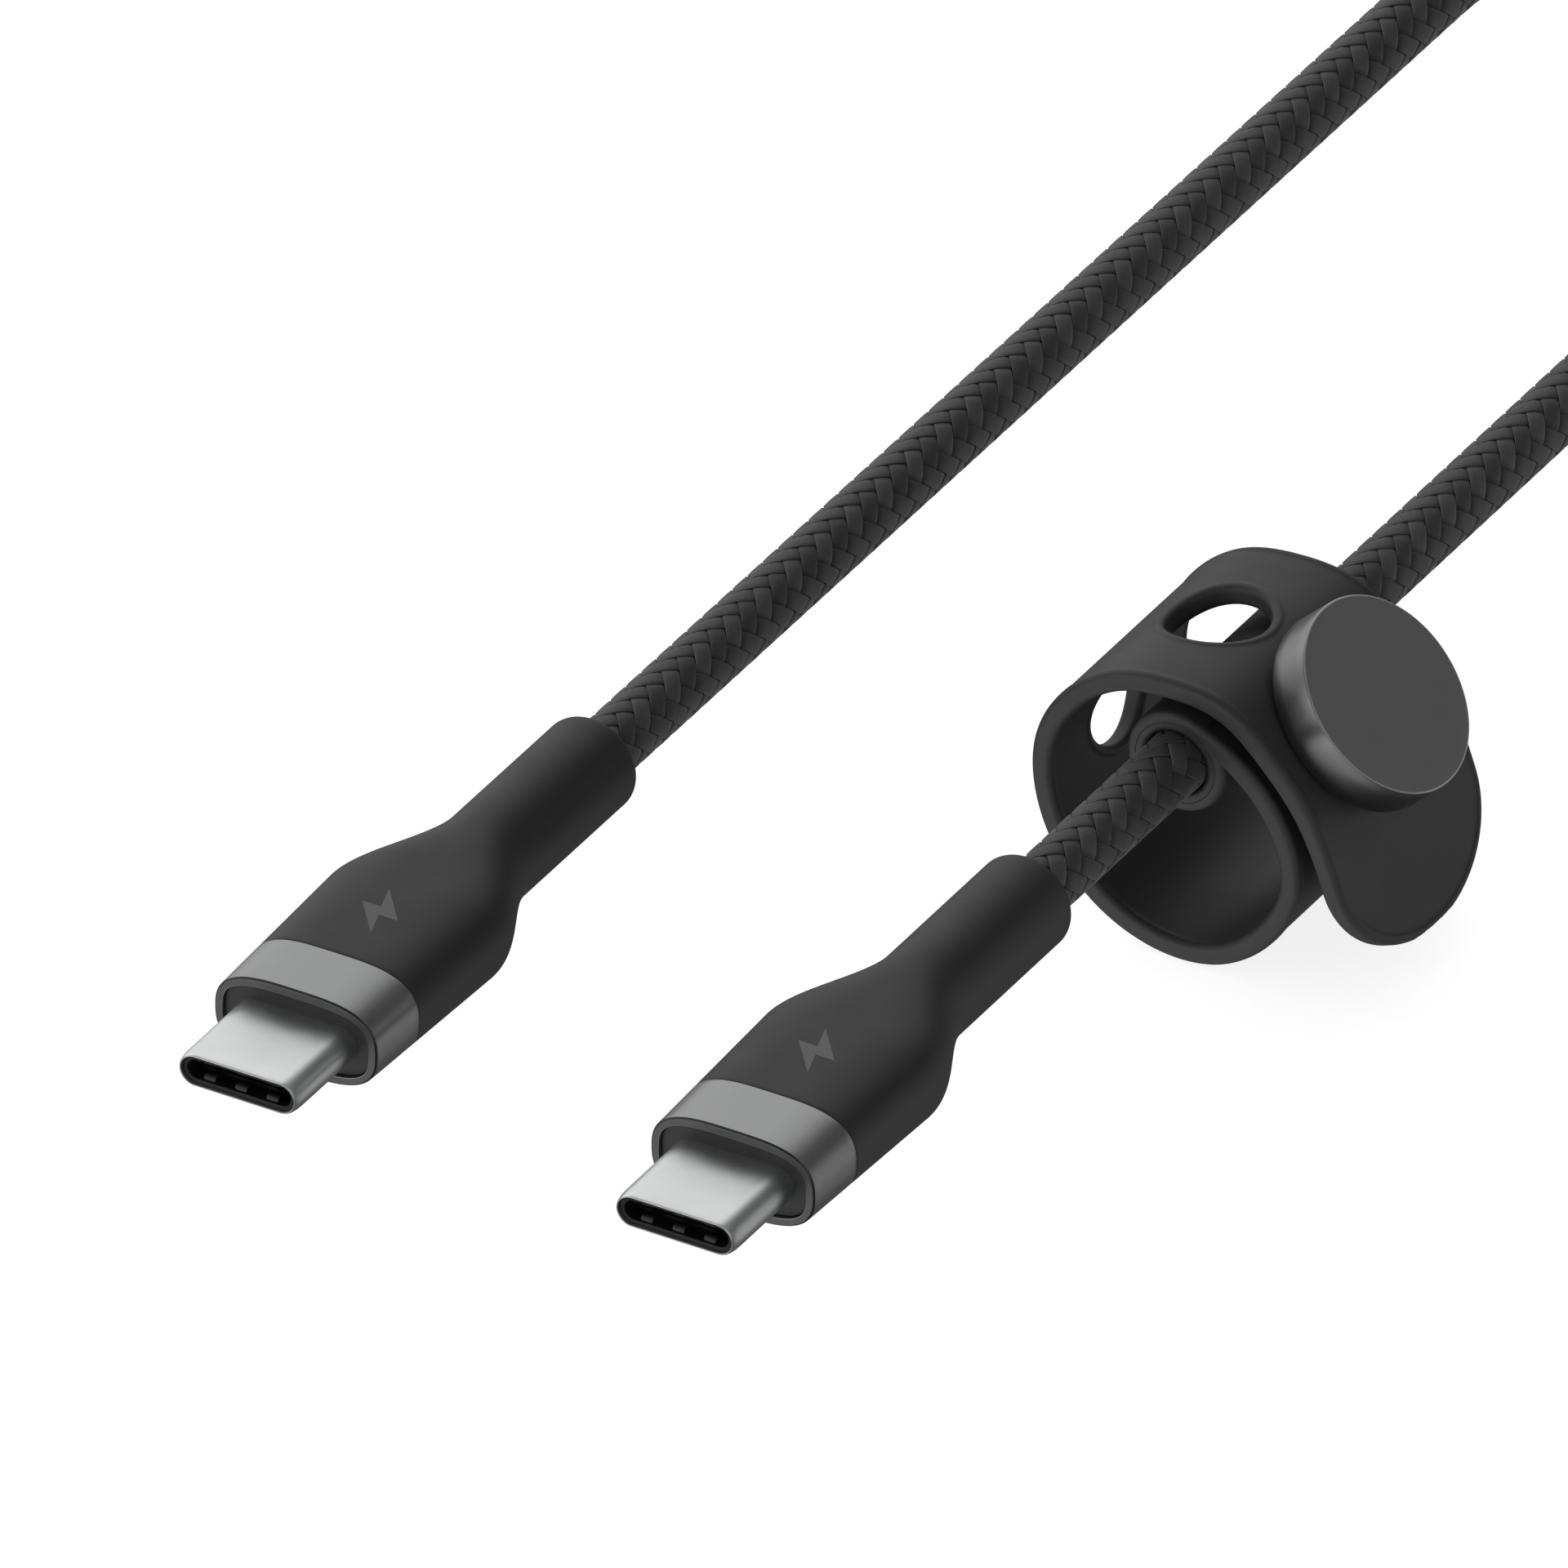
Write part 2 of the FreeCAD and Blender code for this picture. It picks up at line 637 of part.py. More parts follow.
def build_strap():
    curve = band_curve()
    u_start = curve.FirstParameter
    u_end = curve.LastParameter
    u_pivot = curve.parameter(strap_point(BAND_PIVOT, STRAP_START_Y))
    u_flap = curve.parameterAtDistance(STRAP_T / 2 + BEND_GAP, u_pivot)
    y_end = STRAP_START_Y + STRAP_WIDTH

    liner = rod(STRAP_START_Y, y_end, EYELET_SPLIT, PLUG_PITCH).cut(
        rod(STRAP_START_Y - 1, y_end + 1, EYELET_BORE, PLUG_PITCH))
    keeper_u = curve.parameter(strap_point(KEEPER_CENTRE, STRAP_START_Y))
    keeper_out = normal_at(curve, keeper_u)
    keeper_base = curve.value(keeper_u) + V(0, STRAP_WIDTH / 2, 0) - keeper_out * KEEPER_T / 2
    keeper = Part.makeCylinder(KEEPER_R, KEEPER_T, keeper_base, keeper_out)

    loop = band_solid(curve, u_start, u_pivot, True)
    loop = loop.fuse(rod(STRAP_START_Y, y_end, EYELET_R, PLUG_PITCH))
    loop = loop.cut(rod(STRAP_START_Y - 1, y_end + 1, EYELET_SPLIT + SPLIT_GAP, PLUG_PITCH))
    loop = loop.cut(hole_pin(curve, HOLE_PLACES[1])).cut(keeper)

    flap = band_solid(curve, u_flap, u_end, False).cut(tab_trim())
    flap = flap.cut(hole_pin(curve, HOLE_PLACES[0]))
    # The button's neck goes through the last hole, square to the button.
    flap = flap.cut(button_disc(HOLE_R, -2 * STRAP_T, 0.5))

    cap = button_disc(BUTTON_R, 0.0, BUTTON_T).cut(
        button_disc(MAGNET_R + MAGNET_GAP, -1.0, BUTTON_T - BUTTON_FLOOR))
    stud = button_disc(MAGNET_R, LAYER_GAP, BUTTON_FLOOR)
    stud = stud.fuse(button_disc(NECK_STUD_R, -STUD_FLANGE_DROP, 0.4))
    stud = stud.fuse(button_disc(STUD_FLANGE_R, -STUD_FLANGE_DROP - STUD_FLANGE_T,
                                 -STUD_FLANGE_DROP)).removeSplitter()
    magnet_low = BUTTON_FLOOR + LAYER_GAP
    magnet = button_disc(MAGNET_R, magnet_low, magnet_low + MAGNET_T)

    save("strap_eyelet_liner", liner)
    save("strap_loop", loop)
    save("strap_keeper_plate", keeper)
    save("strap_flap", flap)
    save("button_cap", cap)
    save("button_stud", stud)
    save("button_magnet", magnet)


os.makedirs("parts", exist_ok=True)
for plug_side, plug_x in PLUGS.items():
    build_plug(plug_side, plug_x)
build_cable()
build_strap()
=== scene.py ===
import json
import math

import bpy
import numpy as np
from mathutils import Matrix, Vector
from mathutils.geometry import delaunay_2d_cdt


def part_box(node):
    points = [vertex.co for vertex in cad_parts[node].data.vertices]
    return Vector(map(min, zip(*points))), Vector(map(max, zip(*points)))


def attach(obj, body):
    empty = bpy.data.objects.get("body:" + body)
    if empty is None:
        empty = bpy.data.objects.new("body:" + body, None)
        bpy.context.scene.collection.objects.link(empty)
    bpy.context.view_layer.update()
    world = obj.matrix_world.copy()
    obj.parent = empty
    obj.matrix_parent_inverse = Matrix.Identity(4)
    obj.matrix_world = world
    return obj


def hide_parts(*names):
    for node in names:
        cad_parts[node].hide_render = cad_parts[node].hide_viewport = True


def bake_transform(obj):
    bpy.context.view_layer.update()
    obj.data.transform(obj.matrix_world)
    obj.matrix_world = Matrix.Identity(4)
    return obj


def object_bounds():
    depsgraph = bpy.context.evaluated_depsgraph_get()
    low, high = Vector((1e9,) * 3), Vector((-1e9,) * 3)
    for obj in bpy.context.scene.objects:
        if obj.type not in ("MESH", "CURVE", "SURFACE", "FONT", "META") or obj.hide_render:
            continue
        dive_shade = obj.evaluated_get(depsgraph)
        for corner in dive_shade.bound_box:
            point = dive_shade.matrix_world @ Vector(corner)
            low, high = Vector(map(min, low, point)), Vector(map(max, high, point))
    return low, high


# A braided USB-C cable with two plugs and a silicone strap. Lengths are millimetres in the
# CAD frame, and become metres where a mesh is made.

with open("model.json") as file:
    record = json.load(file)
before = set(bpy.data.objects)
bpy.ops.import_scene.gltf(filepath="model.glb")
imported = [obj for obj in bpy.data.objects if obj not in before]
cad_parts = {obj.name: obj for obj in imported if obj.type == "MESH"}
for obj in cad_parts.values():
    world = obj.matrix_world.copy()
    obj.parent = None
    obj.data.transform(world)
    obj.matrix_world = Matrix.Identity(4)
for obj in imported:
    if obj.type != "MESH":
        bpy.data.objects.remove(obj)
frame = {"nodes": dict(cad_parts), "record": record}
cad_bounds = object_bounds()
SCENE = bpy.context.scene

MM = 0.001
AXIS_X = {}
for side_name in ("left", "right"):
    low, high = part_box(side_name + "_shell")
    AXIS_X[side_name] = (low.x + high.x) / 2 / MM


def node_box(node):
    """A CAD node's lowest and highest corners, in millimetres."""
    low_corner, high_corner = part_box(node)
    return low_corner / MM, high_corner / MM


# ---- sizes taken from the frame ----
SHELL_LOW, SHELL_HIGH = node_box("left_shell")
SHELL_HALF_W = (SHELL_HIGH.x - SHELL_LOW.x) / 2
SHELL_HALF_H = (SHELL_HIGH.z - SHELL_LOW.z) / 2
SHELL_END = SHELL_HIGH.y
RING_START, RING_END = (corner.y for corner in node_box("left_trim_ring"))
PLATE_START, PLATE_END = (corner.y for corner in node_box("left_face_plate"))
HOUSING_END = node_box("left_tongue_housing")[1].y
NECK_END = node_box("left_boot")[1].y
BADGE_START, BADGE_END = (corner.y for corner in node_box("left_badge"))
STRAP_START, STRAP_END = (corner.y for corner in node_box("strap_eyelet_liner"))
STRAP_MID = (STRAP_START + STRAP_END) / 2
STRAP_HALF = (STRAP_END - STRAP_START) / 2
FLOOR_Z = cad_bounds[0][2] / MM


# ---- materials ----
def map_range(nodes, start, end, low, high):
    """A node that carries start to end over to low to high."""
    made = nodes.new("ShaderNodeMapRange")
    for key, value in (("From Min", start), ("From Max", end), ("To Min", low), ("To Max", high)):
        made.inputs[key].default_value = value
    return made


class Material:
    """A node material in the making, with small helpers."""

    def __init__(self, name, colour, roughness, metallic=0.0):
        self.data = bpy.data.materials.new(name)
        self.data.use_nodes = True
        self.tree = self.data.node_tree
        self.surface = self.tree.nodes["Principled BSDF"]
        self.surface.inputs["Base Color"].default_value = (*colour, 1.0)
        self.surface.inputs["Roughness"].default_value = roughness
        self.surface.inputs["Metallic"].default_value = metallic
        self.data.diffuse_color = (*colour, 1.0)
        self.colour = colour
        self.roughness = roughness
        self.height = None

    def node(self, kind, **inputs):
        """A new shader node with some inputs set."""
        made = self.tree.nodes.new(kind)
        for key, value in inputs.items():
            made.inputs[key].default_value = value
        return made

    def link(self, start, end):
        self.tree.links.new(start, end)

    def place(self):
        """Where the shaded point is, in metres, before any pose."""
        return self.node("ShaderNodeTexCoord").outputs["Object"]

    def stretched(self, vector, scale):
        """The vector scaled along each axis, for a texture with a grain."""
        mapping = self.node("ShaderNodeMapping")
        mapping.inputs["Scale"].default_value = scale
        self.link(vector, mapping.inputs["Vector"])
        return mapping.outputs["Vector"]

    def noise(self, vector, scale, detail=2.0, rough=0.5):
        """Smooth noise with features about 1 / scale metres wide."""
        made = self.node("ShaderNodeTexNoise", Scale=scale, Detail=detail, Roughness=rough)
        self.link(vector, made.inputs["Vector"])
        return made.outputs["Fac"]

    def ranged(self, value, low, high):
        """The value's middle part (0.3 to 0.7) stretched over low to high."""
        made = map_range(self.tree.nodes, 0.3, 0.7, low, high)
        self.link(value, made.inputs["Value"])
        return made.outputs["Result"]

    def bump(self, height, depth_mm):
        """Adds a bump whose full height stands depth_mm proud."""
        made = self.node("ShaderNodeBump", Strength=1.0, Distance=depth_mm * MM)
        self.link(height, made.inputs["Height"])
        if self.height is not None:
            self.link(self.height, made.inputs["Normal"])
        self.height = made.outputs["Normal"]
        self.link(self.height, self.surface.inputs["Normal"])

    def shade(self, factor):
        """Multiplies the base colour by a grey factor."""
        mix = self.node("ShaderNodeMix")
        mix.data_type = "RGBA"
        mix.blend_type = "MULTIPLY"
        mix.inputs["Factor"].default_value = 1.0
        source = self.surface.inputs["Base Color"]
        if source.is_linked:
            self.link(source.links[0].from_socket, mix.inputs[6])
        else:
            mix.inputs[6].default_value = (*self.colour, 1.0)
        self.link(factor, mix.inputs[7])
        self.link(mix.outputs[2], source)

    def vary_roughness(self, value, swing):
        """Lets the value swing the roughness about its middle."""
        self.link(self.ranged(value, self.roughness - swing, self.roughness + swing),
                  self.surface.inputs["Roughness"])


MOTTLE_MM = 3.5  # size of the slow colour change on moulded parts
SCUFF_MM = 2.5  # size of the uneven gloss on metal
FIBRES = (22.0, 0.5, 3.0)  # noise per millimetre across a tape, along it, and per tape
# Noise per metre on each axis, for scratches that run across the named one.
ACROSS_Y = (900.0, 9000.0, 900.0)
ACROSS_X = (9000.0, 900.0, 900.0)
ACROSS_Z = (900.0, 900.0, 9000.0)


def grained(name, colour, roughness, metallic=0.0, grain_mm=0.12, depth_mm=0.004,
            mottle=0.06, swing=0.05, specular=0.5):
    """A moulded or blasted surface: fine grain, slow colour change, uneven gloss."""
    made = Material(name, colour, roughness, metallic)
    place = made.place()
    grain = made.noise(place, 1.0 / (grain_mm * MM), 3.0, 0.6)
    slow = made.noise(place, 1.0 / (MOTTLE_MM * MM), 3.0)
    made.bump(grain, depth_mm)
    made.shade(made.ranged(slow, 1.0 - mottle, 1.0 + mottle))
    made.vary_roughness(slow, swing)
    made.surface.inputs["Specular IOR Level"].default_value = specular
    return made.data


def brushed(name, colour, roughness, stretch, depth_mm=0.0012, swing=0.04):
    """Drawn or brushed metal: long fine scratches along the stretched axis."""
    made = Material(name, colour, roughness, 1.0)
    place = made.place()
    scratch = made.noise(made.stretched(place, stretch), 1.0, 4.0, 0.65)
    slow = made.noise(place, 1.0 / (SCUFF_MM * MM), 2.0)
    made.bump(scratch, depth_mm)
    made.vary_roughness(slow, swing)
    made.shade(made.ranged(scratch, 0.96, 1.0))
    return made.data


def braided(name, colour, roughness):
    """Flat nylon tape: fibres run along it, and every other tape one way is paler. Tapes also
    carry painted shade where they dive under and painted highlights along their edges.
    """
    made = Material(name, colour, roughness)
    tape = made.node("ShaderNodeAttribute")
    tape.attribute_name = "tape_place"
    tone_and_shade = made.node("ShaderNodeAttribute")
    tone_and_shade.attribute_name = "tape_tone_and_shade"
    fibres = made.noise(made.stretched(tape.outputs["Vector"], FIBRES), 1.0, 3.0, 0.7)
    made.bump(fibres, 0.010)
    made.shade(made.ranged(fibres, 0.84, 1.16))
    # Each tape's own tone, times painted shade where it dives under and painted highlights along
    # its edges.
    made.shade(tone_and_shade.outputs["Fac"])
    made.vary_roughness(fibres, 0.06)
    made.surface.inputs["Sheen Weight"].default_value = 0.12
    made.surface.inputs["Sheen Roughness"].default_value = 0.4
    return made.data


def layered_board(name):
    """Solder mask with faint traces."""
    made = Material(name, (0.02, 0.11, 0.05), 0.35)
    place = made.place()
    traces = made.node("ShaderNodeTexWave", Scale=1.0 / (1.1 * MM), Distortion=2.0)
    made.link(place, traces.inputs["Vector"])
    made.bump(traces.outputs["Fac"], 0.01)
    made.shade(made.ranged(traces.outputs["Fac"], 0.8, 1.2))
    return made.data


LOOKS = {}


def add_look(maker, name, *values, **options):
    """Makes a material and files it under its name."""
    LOOKS[name] = maker(name, *values, **options)


add_look(brushed, "plug_steel", (0.80, 0.81, 0.81), 0.37, ACROSS_Y)
add_look(grained, "black_insulator", (0.007, 0.007, 0.0075), 0.45, grain_mm=0.08,
         depth_mm=0.002, specular=0.3)
add_look(brushed, "gold_contact", (0.85, 0.60, 0.20), 0.25, ACROSS_X)
add_look(brushed, "spring_steel", (0.30, 0.30, 0.31), 0.35, ACROSS_X)
add_look(grained, "dark_spring", (0.03, 0.031, 0.031), 0.40, 0.5, grain_mm=0.06, depth_mm=0.002)
add_look(layered_board, "circuit_board")
add_look(grained, "chip_black", (0.02, 0.02, 0.02), 0.4, grain_mm=0.05)
add_look(brushed, "can_steel", (0.6, 0.6, 0.58), 0.3, ACROSS_Y)
add_look(grained, "clear_mould", (0.5, 0.5, 0.45), 0.45)
add_look(grained, "ring_metal", (0.36, 0.362, 0.365), 0.34, 0.95, grain_mm=0.05,
         depth_mm=0.0012, mottle=0.02, swing=0.015)
# Darker copies of the ring's metal: a painted dark reflection on the front bevel and a painted
# shade on the front rim.
add_look(grained, "ring_bevel", (0.07, 0.07, 0.071), 0.30, 0.9, grain_mm=0.05, depth_mm=0.0008,
         mottle=0.02)
add_look(grained, "ring_rim", (0.125, 0.126, 0.127), 0.36, 0.9, grain_mm=0.05, depth_mm=0.0012,
         mottle=0.03)
# Painted highlight: a brighter copy of the button's metal for its fine edge.
add_look(grained, "button_edge", (0.6, 0.6, 0.6), 0.42, 0.9, grain_mm=0.05, depth_mm=0.0008,
         mottle=0.02)
add_look(grained, "face_plate", (0.022, 0.0225, 0.0225), 0.5, grain_mm=0.07, depth_mm=0.002,
         mottle=0.04)
add_look(grained, "soft_boot", (0.026, 0.026, 0.0262), 0.50, grain_mm=0.07, depth_mm=0.0025,
         mottle=0.03, swing=0.03)
add_look(grained, "badge_grey", (0.15, 0.151, 0.151), 0.5, grain_mm=0.06, depth_mm=0.002,
         mottle=0.03)
add_look(grained, "wire_insulation", (0.7, 0.7, 0.68), 0.4)
add_look(grained, "red_insulation", (0.5, 0.02, 0.02), 0.4)
add_look(grained, "green_insulation", (0.03, 0.3, 0.09), 0.4)
add_look(grained, "black_wire_insulation", (0.02, 0.02, 0.02), 0.4)
add_look(braided, "braid", (0.034, 0.034, 0.0345), 0.52)
add_look(grained, "inner_jacket", (0.01, 0.01, 0.01), 0.6)
add_look(brushed, "shield_foil", (0.75, 0.75, 0.77), 0.3, ACROSS_Y)
add_look(brushed, "copper", (0.72, 0.35, 0.18), 0.3, ACROSS_Y)
add_look(grained, "yarn", (0.7, 0.6, 0.25), 0.7, grain_mm=0.05, depth_mm=0.01)
add_look(grained, "silicone", (0.031, 0.031, 0.0315), 0.50, grain_mm=0.06, depth_mm=0.0020,
         mottle=0.03, swing=0.03)
add_look(grained, "button_metal", (0.27, 0.27, 0.273), 0.30, 1.0, grain_mm=0.05,
         depth_mm=0.0005, mottle=0.02, swing=0.02)
add_look(grained, "button_face", (0.165, 0.165, 0.166), 0.55, 0.2, grain_mm=0.045,
         depth_mm=0.0020, mottle=0.02, swing=0.02)
add_look(brushed, "magnet_nickel", (0.7, 0.7, 0.7), 0.2, ACROSS_Z)
for entry in frame["record"]["subparts"]:
    cad_object = frame["nodes"][entry["node"]]
    cad_object.data.materials.clear()
    cad_object.data.materials.append(LOOKS[entry["material_slot"]])


# ---- meshes ----
def new_piece(name, points, faces, look, sharp_degrees=40.0):
    """A Blender object from points in millimetres."""
    mesh = bpy.data.meshes.new(name)
    mesh.from_pydata((np.asarray(points, float) * MM).tolist(), [], faces)
    mesh.validate()
    mesh.shade_smooth()
    mesh.set_sharp_from_angle(angle=math.radians(sharp_degrees))
    piece = bpy.data.objects.new(name, mesh)
    SCENE.collection.objects.link(piece)
    mesh.materials.append(LOOKS[look])
    return piece


def ring_faces(rings, count, closed, base=0):
    """Quads between rings of count points. Last joins first if closed, or both are capped."""
    faces = []
    for r in range(rings if closed else rings - 1):
        a = base + r * count
        b = base + ((r + 1) % rings) * count
        for k in range(count):
            n = (k + 1) % count
            faces.append((a + k, a + n, b + n, b + k))
    if not closed:
        last = base + (rings - 1) * count
        faces.append(tuple(reversed(range(base, base + count))))
        faces.append(tuple(range(last, last + count)))
    return faces


def loft(name, rings, look, closed=False, sharp_degrees=40.0):
    """A skin over rings of equal length, which ends in flat caps unless it is closed."""
    rings = [np.asarray(r, float) for r in rings]
    faces = ring_faces(len(rings), len(rings[0]), closed)
    return new_piece(name, np.concatenate(rings), faces, look, sharp_degrees)


def paint_bands(piece, around, bands):
    """Gives bands of a loft their own looks, each from its first band up to its end."""
    for index, (look, start, end) in enumerate(bands, 1):
        piece.data.materials.append(LOOKS[look])
        for polygon in piece.data.polygons[start * around:end * around]:
            polygon.material_index = index


def slab_faces(top, total):
    """A slab's faces: its top triangles, their copies below and the walls between."""
    faces = [tuple(t) for t in top]
    faces += [tuple(v + total for v in reversed(t)) for t in top]
    directed = {(t[k], t[(k + 1) % 3]) for t in top for k in range(3)}
    for a, b in sorted(directed):
        if (b, a) not in directed:
            faces.append((b, a, a + total, b + total))
    return faces


def settle(piece, body, node):
    """Puts a piece on its body, where it stands for a CAD node."""
    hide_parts(node)
    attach(piece, body)


AROUND = 128  # points round every section of the plug
QUARTER_STEPS = 720  # fine steps that an oblong's quarter is measured with
CORNER_STEPS = 39


def even_ring(y, quarter, x):
    """An evenly spaced section across the plug's axis, from one quarter of it."""
    quarter = np.asarray(quarter, float)
    walked = np.concatenate([[0.0], np.cumsum(np.linalg.norm(np.diff(quarter, axis=0), axis=1))])
    places = np.linspace(0, walked[-1], AROUND // 4 + 1)
    px = np.interp(places, walked, quarter[:, 0])
    pz = np.interp(places, walked, quarter[:, 1])
    half_x = np.concatenate([px, -px[-2::-1]])
    half_z = np.concatenate([pz, pz[-2::-1]])
    ring_x = np.concatenate([half_x, half_x[-2:0:-1]])
    ring_z = np.concatenate([half_z, -half_z[-2:0:-1]])
    return np.stack([x + ring_x, np.full(AROUND, float(y)), ring_z], 1)


def oblong_ring(y, half_w, half_h, across, upright, x=0.0):
    """A soft oblong: squareness 2 is an oval, and a higher one is squarer."""
    turn = np.linspace(0, math.pi / 2, QUARTER_STEPS + 1)
    quarter = np.stack([half_w * np.abs(np.cos(turn)) ** (2 / across),
                        half_h * np.abs(np.sin(turn)) ** (2 / upright)], 1)
    quarter[-1, 0] = 0.0
    return even_ring(y, quarter, x)


def rounded_ring(y, half_w, half_h, corner, x=0.0):
    """A rounded rectangle across the plug's axis."""
    corner = min(corner, half_w - 0.001, half_h)
    turn = np.linspace(0, math.pi / 2, CORNER_STEPS + 1)
    arc = np.stack([half_w - corner + corner * np.cos(turn),
                    half_h - corner + corner * np.sin(turn)], 1)
    return even_ring(y, [(half_w, 0.0), *arc, (0.0, half_h)], x)


# ---- plug ----
FRONT = (5.61, 2.93)  # half width, half height
SHOULDER = (6.05, 3.15)
SQUARE = (3.4, 2.55)  # squareness of the ends, and of the top and bottom
SHOULDER_Y = 20.2
NECK_START = 29.0
NECK_R = 3.18
NECK_ROUND = 0.7
SHELL_WALL = 0.22
MOUTH_WALL = 0.25  # the shell's wall at its mouth
TOUCH = 0.004  # how far the plate bites into the shell it touches
MOUTH = (5.03, 2.31, 3.6, 3.3)  # the pocket in the ring's front: halves and squareness
RING_HOLLOW = (4.94, 2.16, 5.0, 3.5)
BOOT_HOLLOW = (4.90, 2.08, 5.0, 3.5)
BOOT_HOLLOW_END = 19.43
CRIMP_HOLLOW_END = 25.03
CRIMP_HOLLOW_R = 2.63
CABLE_BORE = 2.14


def outline(y, inset=0.0):
    """The ring's and boot's section at a station, drawn in by an inset."""
    widen = min((y - RING_START) / (SHOULDER_Y - RING_START), 1.0)
    draw = min(max((y - SHOULDER_Y) / (NECK_START - SHOULDER_Y), 0.0), 1.0)
    draw = draw * draw * (3 - 2 * draw)
    sizes = []
    for front, shoulder in zip(FRONT, SHOULDER):
        body = front + (shoulder - front) * widen
        sizes.append(body + (NECK_R - body) * draw - inset)
    return sizes + [square + (2.0 - square) * draw for square in SQUARE]


def plug_shell(side, x):
    """The steel shell, drawn in slightly at the mouth, with a rounded lip."""
    outside = [(SHELL_END, 0.0), (8.0, 0.0), (6.0, 0.0), (4.0, 0.0), (2.2, 0.0), (1.3, 0.0),
               (1.0, 0.003), (0.8, 0.010), (0.62, 0.021), (0.46, 0.038), (0.32, 0.060),
               (0.20, 0.085), (0.12, 0.108), (0.06, 0.134), (0.02, 0.164), (0.0, 0.195),
               (0.012, 0.222), (0.05, 0.240), (0.12, MOUTH_WALL), (0.3, MOUTH_WALL),
               (0.6, 0.24), (0.9, SHELL_WALL), (2.0, SHELL_WALL), (5.0, SHELL_WALL),
               (SHELL_END, SHELL_WALL)]
    rings = []
    for y, inset in outside:
        rings.append(rounded_ring(y, SHELL_HALF_W - inset, SHELL_HALF_H - inset,
                                  SHELL_HALF_H - inset, x))
    piece = loft(side + "_steel_shell", rings, "plug_steel", True, 50.0)
    settle(piece, side + "_plug", side + "_shell")


def insulator(side, x):
    """The black insulator: a thin frame in the shell's mouth, and the tongue slot behind."""
    outer_w = SHELL_HALF_W - MOUTH_WALL
    outer_h = SHELL_HALF_H - MOUTH_WALL
    rings = [rounded_ring(y, outer_w - inset, outer_h - inset, outer_h - inset, x)
             for y, inset in ((HOUSING_END, 0.0), (0.35, 0.0), (0.27, 0.01), (0.25, 0.03))]
    for y, half_w, half_h in ((0.25, 3.60, 0.69), (0.27, 3.57, 0.66), (0.35, 3.55, 0.64),
                              (1.45, 3.55, 0.64), (1.46, 3.45, 0.43), (6.2, 3.45, 0.43),
                              (6.2, 3.0, 0.2), (6.2, 0.5, 0.05)):
        rings.append(rounded_ring(y, half_w, half_h, half_h, x))
    piece = loft(side + "_mouth_insulator", rings, "black_insulator", False, 35.0)
    settle(piece, side + "_plug", side + "_tongue_housing")


def ground_springs(side, x):
    """Six bent spring leaves that show through the insulator's mouth."""
    leaf_half = 0.40
    thick = 0.09
    profile = ((0.42, 0.62), (0.46, 0.52), (0.53, 0.40), (0.64, 0.345), (0.78, 0.33),
               (0.92, 0.35), (1.03, 0.42), (1.10, 0.54), (1.14, 0.62))
    for level, sign in (("upper", 1.0), ("lower", -1.0)):
        for k, centre in enumerate((-2.15, 0.0, 2.15)):
            rings = []
            for y, rise in profile:
                half = leaf_half * (0.75 if y in (profile[0][0], profile[-1][0]) else 1.0)
                ring = []
                for px, pz in ((-half, 0.02), (-half + 0.05, 0.0), (half - 0.05, 0.0),
                               (half, 0.02), (half, thick), (-half, thick)):
                    ring.append((x + centre + px, y, sign * (rise + pz)))
                rings.append(ring if sign > 0 else ring[::-1])
            piece = loft(f"{side}_spring_{level}_{k + 1}", rings, "dark_spring", False, 50.0)
            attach(piece, side + "_plug")
            if level == "upper" and k == 0:
                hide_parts(side + "_ground_springs")


def trim_ring(side, x):
    """The satin ring: a fine bevel round the front, a flat rim and the plate's pocket. The bevel
    carries a painted dark reflection, and the rim a painted shade.
    """
    front = RING_START
    back = RING_END
    side_end = back - 0.08
    side_start = front + 0.20
    steps = 12
    rings = []
    for y, inset in ((back, 0.06), (back - 0.03, 0.02), (side_end, 0.0)):
        rings.append(oblong_ring(y, *outline(y, inset), x))
    for k in range(1, steps):
        y = side_end + (side_start - side_end) * k / steps
        rings.append(oblong_ring(y, *outline(y), x))
    bevel_from = len(rings) + 1
    rim_from = bevel_from + 3
    rim_to = rim_from + 5
    for y, inset in ((0.16, 0.0), (0.13, 0.004), (0.11, 0.016), (0.03, 0.084), (0.008, 0.104),
                     (0.0, 0.125), (0.0, 0.14), (0.0, 0.32)):
        rings.append(oblong_ring(front + y, *outline(front, inset), x))
    for y, grow in ((0.0, 0.05), (0.0, 0.03), (0.012, 0.008), (0.04, 0.0), (0.14, 0.0)):
        rings.append(oblong_ring(front + y, MOUTH[0] + grow, MOUTH[1] + grow, *MOUTH[2:], x))
    rings.append(oblong_ring(PLATE_END, *MOUTH, x))
    for y in (PLATE_END + 0.01, back):
        rings.append(oblong_ring(y, *RING_HOLLOW, x))
    piece = loft(side + "_metal_ring", rings, "ring_metal", True, 35.0)
    # The bevel gets a painted dark reflection and the rim a painted shade, both darker copies of
    # the ring's metal.
    paint_bands(piece, AROUND, (("ring_bevel", bevel_from, rim_from),
                                ("ring_rim", rim_from, rim_to)))
    settle(piece, side + "_plug", side + "_trim_ring")


def face_plate(side, x):
    """The dark plate set back in the ring."""
    hole_w = SHELL_HALF_W - TOUCH
    hole_h = SHELL_HALF_H - TOUCH
    y0 = PLATE_START
    y1 = PLATE_END - 0.01
    rings = []
    for y, inset in ((y1, 0.02), (y0 + 0.04, 0.02), (y0, 0.05), (y0, 0.25)):
        rings.append(oblong_ring(y, MOUTH[0] - inset, MOUTH[1] - inset, *MOUTH[2:], x))
    for y in (y0, y1):
        rings.append(rounded_ring(y, hole_w, hole_h, hole_h, x))
    piece = loft(side + "_plate", rings, "face_plate", True, 35.0)
    settle(piece, side + "_plug", side + "_face_plate")


